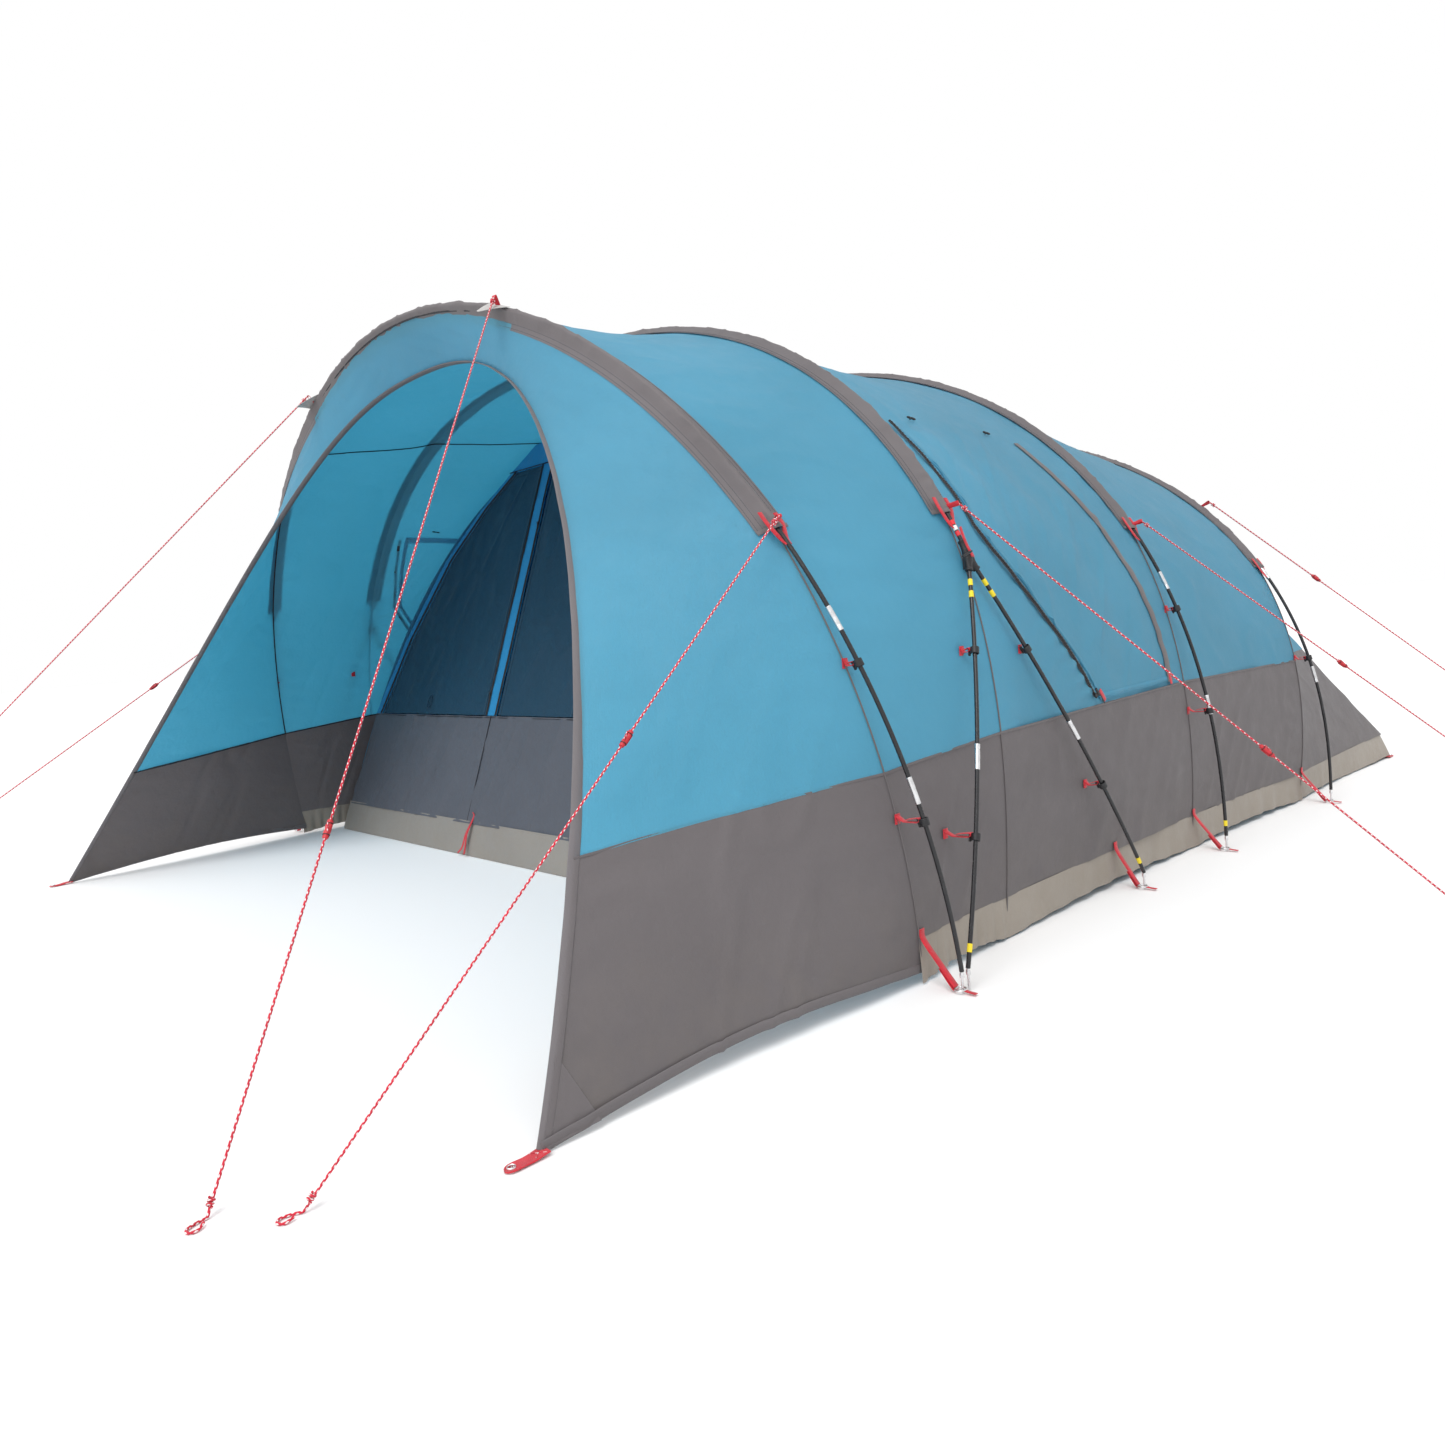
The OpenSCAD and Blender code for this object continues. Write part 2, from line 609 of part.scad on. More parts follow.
// Draws an outline of [x, height] on the leaning front wall, th thick, off in front of it
module on_front(outline, th, off) {
    translate([0, front_y, 0]) rotate([90 - front_lean, 0, 0]) translate([0, 0, off])
        linear_extrude(height = th) polygon([for (p = outline) [p.x, front_s(p.y)]]);
}
// Half width of the inner tent's front wall at a height
function front_half_w(z) = lookup(z, [[0, 1740], [556, 1700], [900, 1575], [1280, 1350], [1500, 1125], [1640, 925], [1760, 740]]);

module inner_front_wall() {
    color(fly_grey)
    on_front([[-1725, tub_h + 6], [1725, tub_h + 6], [1698, door_foot_z - 4], [-1698, door_foot_z - 4]], 3, 0);
}

// Doors: x of the left and right edge at the bottom and the top
edge_z = [0, 0.25, 0.5, 0.75, 1];
strip_x = 600;
door_gap = 4;
function door_z(f) = mix(door_foot_z, door_top_z, f);
function outer_edge(f) = front_half_w(door_z(f)) - 70;
module inner_door_outer(m) {
    mirror([m, 0, 0]) color(navy)
    on_front(concat([for (f = edge_z) [outer_edge(f) - door_gap, door_z(f)]],
        [[strip_x + strip_w / 2 + door_gap, door_top_z], [strip_x + strip_w / 2 + door_gap, door_foot_z]]), 3, 0);
}
module inner_door_centre(m) {
    mirror([m, 0, 0]) color(navy)
    on_front([[door_gap / 2, door_foot_z], [strip_x - strip_w / 2 - door_gap, door_foot_z],
        [strip_x - strip_w / 2 - door_gap, door_top_z], [door_gap / 2, door_top_z]], 3, 0);
}
module inner_door_1() { inner_door_outer(1); }
module inner_door_2() { inner_door_centre(1); }
module inner_door_3() { inner_door_centre(0); }
module inner_door_4() { inner_door_outer(0); }

// Blue strips that frame the doors, and the cloth above them
head_top = 1752;
module inner_front_strips() {
    color(strip_blue) {
        for (m = [0, 1]) mirror([m, 0, 0]) {
            on_front(concat([for (f = edge_z) [outer_edge(f), door_z(f)]],
                [for (f = [1, 0.75, 0.5, 0.25, 0]) [front_half_w(door_z(f)) - 4, door_z(f)]]), 3, 0);
            on_front([[strip_x - strip_w / 2, door_foot_z], [strip_x + strip_w / 2, door_foot_z],
                [strip_x + strip_w / 2, door_top_z], [strip_x - strip_w / 2, door_top_z]], 3, 0);
        }
        on_front([[-front_half_w(door_top_z + 5), door_top_z + 5], [front_half_w(door_top_z + 5), door_top_z + 5],
            [front_half_w(head_top), head_top], [-front_half_w(head_top), head_top]], 3, 0);
    }
}

// Roof, sides and back of the inner tent, as one sheet over five stations
inner_y = [0, 120, 1000, 1900, 2900];
inner_w = [1744, 1744, 1744, 1740, 1700];
inner_h = [1790, 1790, 1770, 1600, 560];
function inner_pt(k, t) =
    let (c = cos(t), s = sin(t), p = 2 / 2.4, z = tub_h + 6 + (inner_h[k] - tub_h) * pow(abs(s), p),
         lean = lookup(k, [[0, 1], [1, 1], [2, 0.2], [3, 0.1], [4, 0]]))
    [inner_w[k] * sgn(c) * pow(abs(c), p), front_y + 12 + inner_y[k] + z * lean_run * lean, z];
module inner_tent() {
    color(strip_blue)
    sheet([for (k = [0:4]) [for (c = [0:24]) inner_pt(k, 180 * c / 24)]]);
}

// Floor with upright walls
floor_t = 4;
tub_len = 3080;
module groundsheet() {
    color(skirt_grey)
    difference() {
        translate([-inner_half_w - 4, front_y, 0]) cube([2 * inner_half_w + 8, tub_len, tub_h]);
        translate([-inner_half_w, front_y + 4, floor_t]) cube([2 * inner_half_w, tub_len - 8, tub_h]);
    }
}

// ---------- guy lines ----------

// Pegging points on the ground
peg_front_right = [1490, -2750, 6];
peg_arch_1_right = [1600, -2640, 6];
peg_arch_2_right = [2700, -180, 6];
peg_arch_3_right = [2620, 1360, 6];
peg_arch_4_right = [2700, 2010, 6];
peg_front_left = [-2080, -3130, 6];
peg_arch_1_left = [-1630, -3150, 6];

// Where each guy line leaves its loop, on the right side
start_front = [670, -1525, 1855];
start_1 = [1615, -1425, 1115];
start_2 = [1730, -860, 1140];
start_3 = [1720, 255, 1105];
start_4 = [1560, 1270, 1215];

// Start, pegging point and the adjuster's fraction of the way down
lines = [
    [start_front, peg_front_right, 0.72],
    [start_1, peg_arch_1_right, 0.42],
    [start_2, peg_arch_2_right, 0.62],
    [start_3, peg_arch_3_right, 0.5],
    [start_4, peg_arch_4_right, 0.3],
    [flipped(start_front), peg_front_left, 0.7],
    [flipped(start_1), peg_arch_1_left, 0.3]
];
loop_len = 40;
function foot_of(l) = unit([l[0].x - l[1].x, l[0].y - l[1].y, 0]);
// A straight taut line, then a loop that lies on the ground round the pegging point
function guy_route(l) =
    let (d = foot_of(l), e = [-d.y, d.x, 0], g = [l[1].x, l[1].y, guy_d / 2 + 0.4])
    concat([for (f = [0:0.1:0.9]) mix(l[0], g, f)],
        [g, g - d * 14 + e * 7, g - d * 32 + e * 10, g - d * loop_len, g - d * 32 - e * 10,
         g - d * 16 - e * 8 + [0, 0, 3]]);
module guy(k) {
    l = lines[k];
    color([0.75, 0.25, 0.3]) rod(guy_route(l), guy_d / 2, guy_d / 2, [0.3, 0.1, 1], 8);
}
module guy_front_right() { guy(0); }
module guy_arch_1_right() { guy(1); }
module guy_arch_2_right() { guy(2); }
module guy_arch_3_right() { guy(3); }
module guy_arch_4_right() { guy(4); }
module guy_front_left() { guy(5); }
module guy_arch_1_left() { guy(6); }

adjuster_r = 8;
module adjuster(k) {
    l = lines[k];
    a = mix(l[0], [l[1].x, l[1].y, guy_d / 2 + 0.4], l[2]);
    color(webbing_red)
    aim(a, l[0]) difference() {
        cylinder(h = adjuster_len, r = adjuster_r, $fn = 32);
        translate([0, 0, -1]) cylinder(h = adjuster_len + 2, r = guy_d / 2 + 0.6, $fn = 32);
    }
}
module adjuster_front_right() { adjuster(0); }
module adjuster_arch_1_right() { adjuster(1); }
module adjuster_arch_2_right() { adjuster(2); }
module adjuster_arch_3_right() { adjuster(3); }
module adjuster_arch_4_right() { adjuster(4); }
module adjuster_front_left() { adjuster(5); }
module adjuster_arch_1_left() { adjuster(6); }

arch_1_pole();
arch_2_pole();
arch_2_legs();
arch_3_pole();
arch_4_pole();
ferrules();
leg_hubs();
pole_end_pins();
foot_rings();
pole_clips();
clip_tapes();
foot_straps();
sleeve_1();
sleeve_2();
sleeve_3();
sleeve_4();
guy_loops();
fly_hood();
fly_roof_front();
fly_roof_middle();
fly_roof_rear();
fly_back();
porch_wing_right();
porch_wing_left();
fly_wall_right();
fly_wall_left();
fly_wall_back();
mud_skirts();
opening_binding();
corner_tabs();
window_flap_right();
window_flap_left();
window_zips();
zip_slider_right();
zip_slider_left();
groundsheet();
inner_tent();
inner_front_wall();
inner_front_strips();
inner_door_1();
inner_door_2();
inner_door_3();
inner_door_4();
guy_front_right();
guy_arch_1_right();
guy_arch_2_right();
guy_arch_3_right();
guy_arch_4_right();
guy_front_left();
guy_arch_1_left();
adjuster_front_right();
adjuster_arch_1_right();
adjuster_arch_2_right();
adjuster_arch_3_right();
adjuster_arch_4_right();
adjuster_front_left();
adjuster_arch_1_left();
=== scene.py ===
import math

import bpy
import numpy as np
from mathutils import Matrix, Vector


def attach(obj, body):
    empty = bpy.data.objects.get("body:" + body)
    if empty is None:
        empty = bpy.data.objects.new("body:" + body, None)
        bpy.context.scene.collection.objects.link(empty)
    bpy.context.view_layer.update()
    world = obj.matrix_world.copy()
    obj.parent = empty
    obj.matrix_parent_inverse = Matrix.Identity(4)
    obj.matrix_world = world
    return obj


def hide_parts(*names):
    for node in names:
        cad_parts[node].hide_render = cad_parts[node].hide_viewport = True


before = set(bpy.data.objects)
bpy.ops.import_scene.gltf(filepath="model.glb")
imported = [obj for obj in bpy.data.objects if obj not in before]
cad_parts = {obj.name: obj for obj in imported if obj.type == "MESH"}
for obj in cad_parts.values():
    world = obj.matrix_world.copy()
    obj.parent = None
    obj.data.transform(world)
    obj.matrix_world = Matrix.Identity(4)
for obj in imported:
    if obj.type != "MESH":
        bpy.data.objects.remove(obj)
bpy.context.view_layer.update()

PI = math.pi

# ---------- driving sizes, the same as the CAD source's ----------

ARCH_Y = (-1.27, -0.885, 0.257, 1.157)
ARCH_HALF_W = (1.936, 1.927, 1.952, 2.009)
ARCH_H = (1.95, 1.908, 1.894, 1.677)
ARCH_N = (1.96, 2.49, 2.29, 2.28)
ARCH_LEAN = (-0.127, 0.01, -0.01, 0.084)
SLEEVE_END = (1.09, 1.12, 1.085, 0.926)
SEAM_Z = (0.505, 0.54, 0.56, 0.55)
OPENING_SEAM_Z = 0.44
SKIRT_TOP = 0.108
FOOT_INSET = 0.115
ROOF_SAG = 0.03
OPENING_HALF_W = 1.76
OPENING_H = 1.79
CORNER_REACH = 1.026
REAR_REACH = 1.173
SLEEVE_HALF_T = 0.012
SLEEVE_R = 0.0078
POLE_R = 0.0055
SECTION_LEN = 0.44
FOOT_Z = 0.052
HUB_Z = 1.0
HUB_REACH = 0.046
LEG_BOW = 0.026
GUY_D = 0.005
CLOTH = 0.0008

# ---------- camera ----------


def make_camera():
    """The camera stands to the right of the porch, at chest height, rolled a little."""
    place, yaw, pitch, roll = Vector((3.229, -3.184, 0.884)), 0.811, 0.0777, -0.0786
    ahead = Vector((-math.sin(yaw) * math.cos(pitch), math.cos(yaw) * math.cos(pitch), -math.sin(pitch)))
    level = ahead.cross(Vector((0, 0, 1))).normalized()
    up = level.cross(ahead)
    right = level * math.cos(roll) + up * math.sin(roll)
    top = up * math.cos(roll) - level * math.sin(roll)
    data = bpy.data.cameras.new("camera")
    data.sensor_width, data.lens, data.shift_y = 36, 25.416, -0.0156
    data.clip_start, data.clip_end = 0.05, 100
    camera = bpy.data.objects.new("camera", data)
    camera.matrix_world = Matrix((right, top, -ahead)).transposed().to_4x4()
    camera.matrix_world.translation = place
    bpy.context.scene.collection.objects.link(camera)
    bpy.context.scene.camera = camera


make_camera()

# ---------- numbers and curves ----------


def unit(v):
    v = np.asarray(v, float)
    return v / np.maximum(np.linalg.norm(v, axis=-1, keepdims=True), 1e-9)


def mix(a, b, f):
    return a + (b - a) * f


def flip_x(p):
    return np.asarray(p, float) * np.array([-1, 1, 1])


def lattice(cells, seed):
    """A repeatable random number from -1 to 1 for each whole-numbered cell."""
    h = cells[..., 0] * 374761393 + cells[..., 1] * 668265263 + cells[..., 2] * 2147483647 + seed * 974634777
    h = (h ^ (h >> 13)) & 0xFFFFFFFF
    h = (h * 1274126177) & 0xFFFFFFFF
    h = (h ^ (h >> 16)) & 0xFFFFFFFF
    return h / 2147483647.5 - 1


def noise(p, size, seed=0):
    """Smooth noise from -1 to 1 over points, with features about size metres across. size may be one per
    axis."""
    q = np.asarray(p, float) / np.asarray(size, float) + 1000.5
    cell = np.floor(q).astype(np.int64)
    f = q - cell
    f = f * f * (3 - 2 * f)
    total = 0
    for dx in (0, 1):
        for dy in (0, 1):
            for dz in (0, 1):
                share = (f[..., 0] if dx else 1 - f[..., 0]) * (f[..., 1] if dy else 1 - f[..., 1])
                share = share * (f[..., 2] if dz else 1 - f[..., 2])
                total = total + share * lattice(cell + np.array([dx, dy, dz]), seed)
    return total


def crease(p, size, seed=0):
    """Thin raised folds: 1 along a fold and falling to 0 beside it."""
    return np.clip(1 - np.abs(noise(p, size, seed)) * 3.2, 0, 1) ** 2


def arch_pt(i, t):
    """Point on an arch's pole at angle t in radians, from the right foot at 0 to the left at pi."""
    c, s = np.cos(t), np.sin(t)
    p = 2 / ARCH_N[i]
    z = ARCH_H[i] * np.abs(s) ** p
    return np.stack([ARCH_HALF_W[i] * np.sign(c) * np.abs(c) ** p, ARCH_Y[i] + ARCH_LEAN[i] * z, z], -1)


def arch_x(i, z):
    return ARCH_HALF_W[i] * (1 - (z / ARCH_H[i]) ** ARCH_N[i]) ** (1 / ARCH_N[i])


def angle_at(i, z):
    return np.arcsin((z / ARCH_H[i]) ** (ARCH_N[i] / 2))


def wall_x_at(i, z):
    inset = SLEEVE_HALF_T + np.maximum(0, 1 - z / SLEEVE_END[i]) * (FOOT_INSET - SLEEVE_HALF_T)
    return arch_x(i, z) - inset


def wall_pt(i, z):
    z = np.asarray(z, float)
    return np.stack([wall_x_at(i, z), ARCH_Y[i] + ARCH_LEAN[i] * z, z], -1)


def cloth_pt(i, t):
    """Where the cloth passes an arch: under the pole in the sleeve, and inside it below."""
    p = arch_pt(i, t)
    centre = np.stack([p[..., 0] * 0, p[..., 1], p[..., 2] * 0 + 0.45 * ARCH_H[i]], -1)
    under = p + unit(centre - p) * SLEEVE_HALF_T
    low = p.copy()
    low[..., 0] = np.sign(p[..., 0]) * wall_x_at(i, np.minimum(p[..., 2], ARCH_H[i] - 1e-6))
    return np.where((p[..., 2] < SLEEVE_END[i])[..., None], low, under)


def opening_y(z):
    return ARCH_Y[0] - CORNER_REACH + 0.576 * z - 0.051 * z * z


def opening_x(z):
    return OPENING_HALF_W * (1 - (z / OPENING_H) ** 1.05) ** (1 / 2.4)


def opening_pt(t):
    c, z = np.cos(t), OPENING_H * np.abs(np.sin(t)) ** (2 / 1.05)
    return np.stack([OPENING_HALF_W * np.sign(c) * np.abs(c) ** (2 / 2.4), opening_y(z), z], -1)


def opening_angle(z):
    return np.arcsin((z / OPENING_H) ** (1.05 / 2))


def back_edge(t):
    """Edge of the back wall near the ground at angle t in radians: a side, a corner, the back."""
    c, s = np.cos(t), np.sin(t)
    m = np.maximum(np.abs(c), np.abs(s))
    half_w = ARCH_HALF_W[3] - FOOT_INSET + 0.004
    return np.stack([half_w * c / m, ARCH_Y[3] + REAR_REACH * s / m, c * 0 + SKIRT_TOP], -1)


def back_angle(t, low):
    quarter = PI / 4
    first = (t - low) / (quarter - low) * quarter
    last = PI - (PI - t - low) / (quarter - low) * quarter
    return np.where(t < quarter, first, np.where(t > 3 * quarter, last, t))


def roof_pt(i, j, u, w):
    """Roof between two arches: u across the bay, w over the width from the right seam to the left."""
    ti, tj = angle_at(i, SEAM_Z[i]), angle_at(j, SEAM_Z[j])
    a, b = cloth_pt(i, mix(ti, PI - ti, w)), cloth_pt(j, mix(tj, PI - tj, w))
    p = mix(a, b, np.asarray(u)[..., None])
    centre = np.stack([p[..., 0] * 0, p[..., 1], p[..., 0] * 0 + 0.7], -1)
    droop = (np.sin(PI * w) ** 2 + 0.15) * ROOF_SAG * 4 * u * (1 - u)
    return p + unit(centre - p) * droop[..., None]


def lookup(z, pairs):
    return np.interp(z, [a for a, _ in pairs], [b for _, b in pairs])


def flap_u0(z):
    return lookup(z, [(0.54, 0.5), (0.7, 0.4), (0.88, 0.26), (1.08, 0.12), (1.4, 0.08)])


def flap_u1(z):
    return lookup(z, [(0.54, 0.93), (0.78, 0.92), (1.09, 0.84), (1.4, 0.78)])


def run(path):
    """Length along a path at each of its points."""
    steps = np.linalg.norm(np.diff(path, axis=0), axis=1)
    return np.concatenate([[0], np.cumsum(steps)])


def resample(path, spacing=None, count=None, start=0.0, end=None):
    """The same path with points evenly spaced along it."""
    path = np.asarray(path, float)
    at = run(path)
    end = at[-1] if end is None else end
    count = count or max(2, int(round((end - start) / spacing)) + 1)
    s = np.linspace(start, end, count)
    return np.stack([np.interp(s, at, path[:, k]) for k in range(3)], -1)


def smooth_path(points, steps=8):
    """Catmull-Rom curve through given points."""
    p = np.asarray(points, float)
    p = np.vstack([2 * p[0] - p[1], p, 2 * p[-1] - p[-2]])
    t = np.linspace(0, 1, steps, endpoint=False)[:, None]
    out = []
    for k in range(1, len(p) - 2):
        a, b, c, d = p[k - 1], p[k], p[k + 1], p[k + 2]
        out.append(0.5 * (2 * b + (c - a) * t + (2 * a - 5 * b + 4 * c - d) * t**2 + (3 * b - a - 3 * c + d)
                          * t**3))
    return np.vstack(out + [p[-2][None]])


# ---------- mesh building ----------


def circle(r, sides):
    a = np.arange(sides) * 2 * PI / sides
    return np.stack([np.cos(a), np.sin(a)], -1) * r


def oval(a, b, sides=12):
    return circle(1, sides) * np.array([a, b])


def strap_section(w, t):
    """Flat section with softened edges, w wide and t thick."""
    e = min(t * 0.45, w * 0.2)
    a, b = w / 2, t / 2
    return np.array([(a, -b + e), (a, b - e), (a - e, b), (0, b), (-a + e, b), (-a, b - e), (-a, -b + e),
                     (-a + e, -b), (0, -b), (a - e, -b)])


class Piece:
    """Collects vertices, faces and texture places, then makes one named object of them."""

    def __init__(self, name):
        self.name, self.verts, self.faces, self.uvs, self.slots, self.count = name, [], [], [], [], 0

    def add(self, verts, faces, uvs=None, slot=0):
        verts = np.asarray(verts, float).reshape(-1, 3)
        for k, face in enumerate(faces):
            self.faces.append([int(v) + self.count for v in face])
            self.uvs.extend(uvs[k] if uvs is not None else [(0.0, 0.0)] * len(face))
        self.slots.extend([slot] * len(faces))
        self.verts.append(verts)
        self.count += len(verts)
        return self

    def sweep(self, path, section, across=None, slot=0, closed=False, around_uv=False):
        """A section of (side, up) points along a path. across is the side direction, one or per point."""
        path = np.asarray(path, float)
        m = len(path)
        section = np.broadcast_to(section, (m, *np.asarray(section).shape[-2:]))
        k = section.shape[1]
        if closed:
            ahead = np.roll(path, -1, 0) - np.roll(path, 1, 0)
        else:
            ahead = np.gradient(path, axis=0)
        d = unit(ahead)
        if across is None:
            side = np.zeros_like(d)
            guide = np.array([0, 0, 1.0]) if abs(d[0][2]) < 0.9 else np.array([1.0, 0, 0])
            side[0] = unit(np.cross(guide, d[0]))
            for i in range(1, m):
                side[i] = unit(side[i - 1] - d[i] * (side[i - 1] @ d[i]))
        else:
            across = np.broadcast_to(np.asarray(across, float), d.shape)
            side = unit(across - d * (across * d).sum(1, keepdims=True))
        up = np.cross(d, side)
        verts = path[:, None] + side[:, None] * section[..., 0:1] + up[:, None] * section[..., 1:2]
        rings = m if closed else m - 1
        i, q = np.meshgrid(np.arange(rings), np.arange(k), indexing="ij")
        i2, q2 = (i + 1) % m, (q + 1) % k
        quads = np.stack([i * k + q, i * k + q2, i2 * k + q2, i2 * k + q], -1).reshape(-1, 4)
        gap = np.linalg.norm(np.diff(np.vstack([section[0], section[0][:1]]), axis=0), axis=1)
        at = np.concatenate([[0], np.cumsum(gap)])
        if around_uv:
            at = np.linspace(0, 1, k + 1)
        length = run(np.vstack([path, path[:1]]) if closed else path)
        ua, ub, va, vb = at[q], at[q + 1], length[i], length[i + 1]
        uv = np.stack([np.stack([ua, va], -1), np.stack([ub, va], -1), np.stack([ub, vb], -1),
                       np.stack([ua, vb], -1)], -2).reshape(-1, 4, 2)
        self.add(verts, quads.tolist(), uv.tolist(), slot)
        if not closed:
            base = self.count - m * k
            for ring, order in ((0, range(k - 1, -1, -1)), (m - 1, range(k))):
                self.faces.append([base + ring * k + v for v in order])
                self.uvs.extend([(float(at[v]), float(length[-1 if ring else 0])) for v in order])
                self.slots.append(slot)
        return self

    def shell(self, grid, keep=None, thickness=CLOTH, outward=None, slot=0):
        """A cloth grid as a thin closed shell: the grid is its outer face. keep picks the faces that
        exist."""
        grid = np.asarray(grid, float)
        m, n = grid.shape[:2]
        normal = unit(np.cross(np.gradient(grid, axis=0), np.gradient(grid, axis=1)))
        outward = out_dir(grid) if outward is None else np.broadcast_to(outward, grid.shape)
        if (normal * outward).sum() < 0:
            normal, turned = -normal, True
        else:
            turned = False
        verts = np.concatenate([grid.reshape(-1, 3), (grid - normal * thickness).reshape(-1, 3)])
        i, j = np.meshgrid(np.arange(m - 1), np.arange(n - 1), indexing="ij")
        quads = np.stack([i * n + j, (i + 1) * n + j, (i + 1) * n + j + 1, i * n + j + 1], -1)
        quads = quads[keep] if keep is not None else quads.reshape(-1, 4)
        if turned:
            quads = quads[:, ::-1]
        sides = np.concatenate([quads[:, [a, (a + 1) % 4]] for a in range(4)])
        key = np.sort(sides, 1) @ np.array([m * n, 1])
        _, first, uses = np.unique(key, return_index=True, return_counts=True)
        rim = sides[first[uses == 1]]
        under = quads[:, ::-1] + m * n
        walls = np.stack([rim[:, 1], rim[:, 0], rim[:, 0] + m * n, rim[:, 1] + m * n], -1)
        faces = np.concatenate([quads, under, walls])
        u = run(grid[:, n // 2])
        v = run(grid[m // 2])
        uv = np.stack(np.broadcast_arrays(u[:, None], v[None, :]), -1).reshape(-1, 2)
        uv = np.concatenate([uv, uv])
        self.add(verts, faces.tolist(), uv[faces].tolist(), slot)
        return self

    def make(self, *materials, body="tent", slot=None, replaces=(), sharp=50):
        mesh = bpy.data.meshes.new(self.name)
        verts = np.vstack(self.verts)
        mesh.from_pydata(verts.tolist(), [], self.faces)
        layer = mesh.uv_layers.new(name="place")
        layer.data.foreach_set("uv", np.asarray(self.uvs, np.float32).ravel())
        for m in materials:
            mesh.materials.append(m)
        mesh.polygons.foreach_set("material_index", np.asarray(self.slots, np.int32))
        mesh.polygons.foreach_set("use_smooth", np.ones(len(mesh.polygons), bool))
        mesh.set_sharp_from_angle(angle=math.radians(sharp))
        mesh.update()
        obj = bpy.data.objects.new(self.name, mesh)
        bpy.context.scene.collection.objects.link(obj)
        if replaces:
            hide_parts(*replaces)
        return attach(obj, body)


def out_dir(p):
    """Outward from the tent's middle line, for points on its skin."""
    centre = np.stack([p[..., 0] * 0, np.clip(p[..., 1], -1.3, 0.9), np.clip(p[..., 2], 0, 0.7)], -1)
    return unit(p - centre)


def bevelled(obj, width, segments=2):
    """Rounds an object's edges and keeps the result as its mesh."""
    mod = obj.modifiers.new("bevel", "BEVEL")
    mod.width, mod.segments, mod.limit_method, mod.angle_limit = width, segments, "ANGLE", math.radians(40)
    return frozen(obj)


def frozen(obj):
    """Applies an object's modifiers."""
    graph = bpy.context.evaluated_depsgraph_get()
    mesh = bpy.data.meshes.new_from_object(obj.evaluated_get(graph))
    obj.modifiers.clear()
    obj.data = mesh
    return obj


def box_mesh(piece, centre, size, axes=None, slot=0):
    """A block of a size about a centre, turned to three axes."""
    axes = np.eye(3) if axes is None else np.asarray(axes, float)
    corners = np.array([(x, y, z) for x in (-0.5, 0.5) for y in (-0.5, 0.5) for z in (-0.5, 0.5)]) * np.asarray(size)
    faces = [(0, 1, 3, 2), (4, 6, 7, 5), (0, 4, 5, 1), (2, 3, 7, 6), (0, 2, 6, 4), (1, 5, 7, 3)]
    return piece.add(np.asarray(centre) + corners @ axes, faces, slot=slot)


# ---------- materials ----------


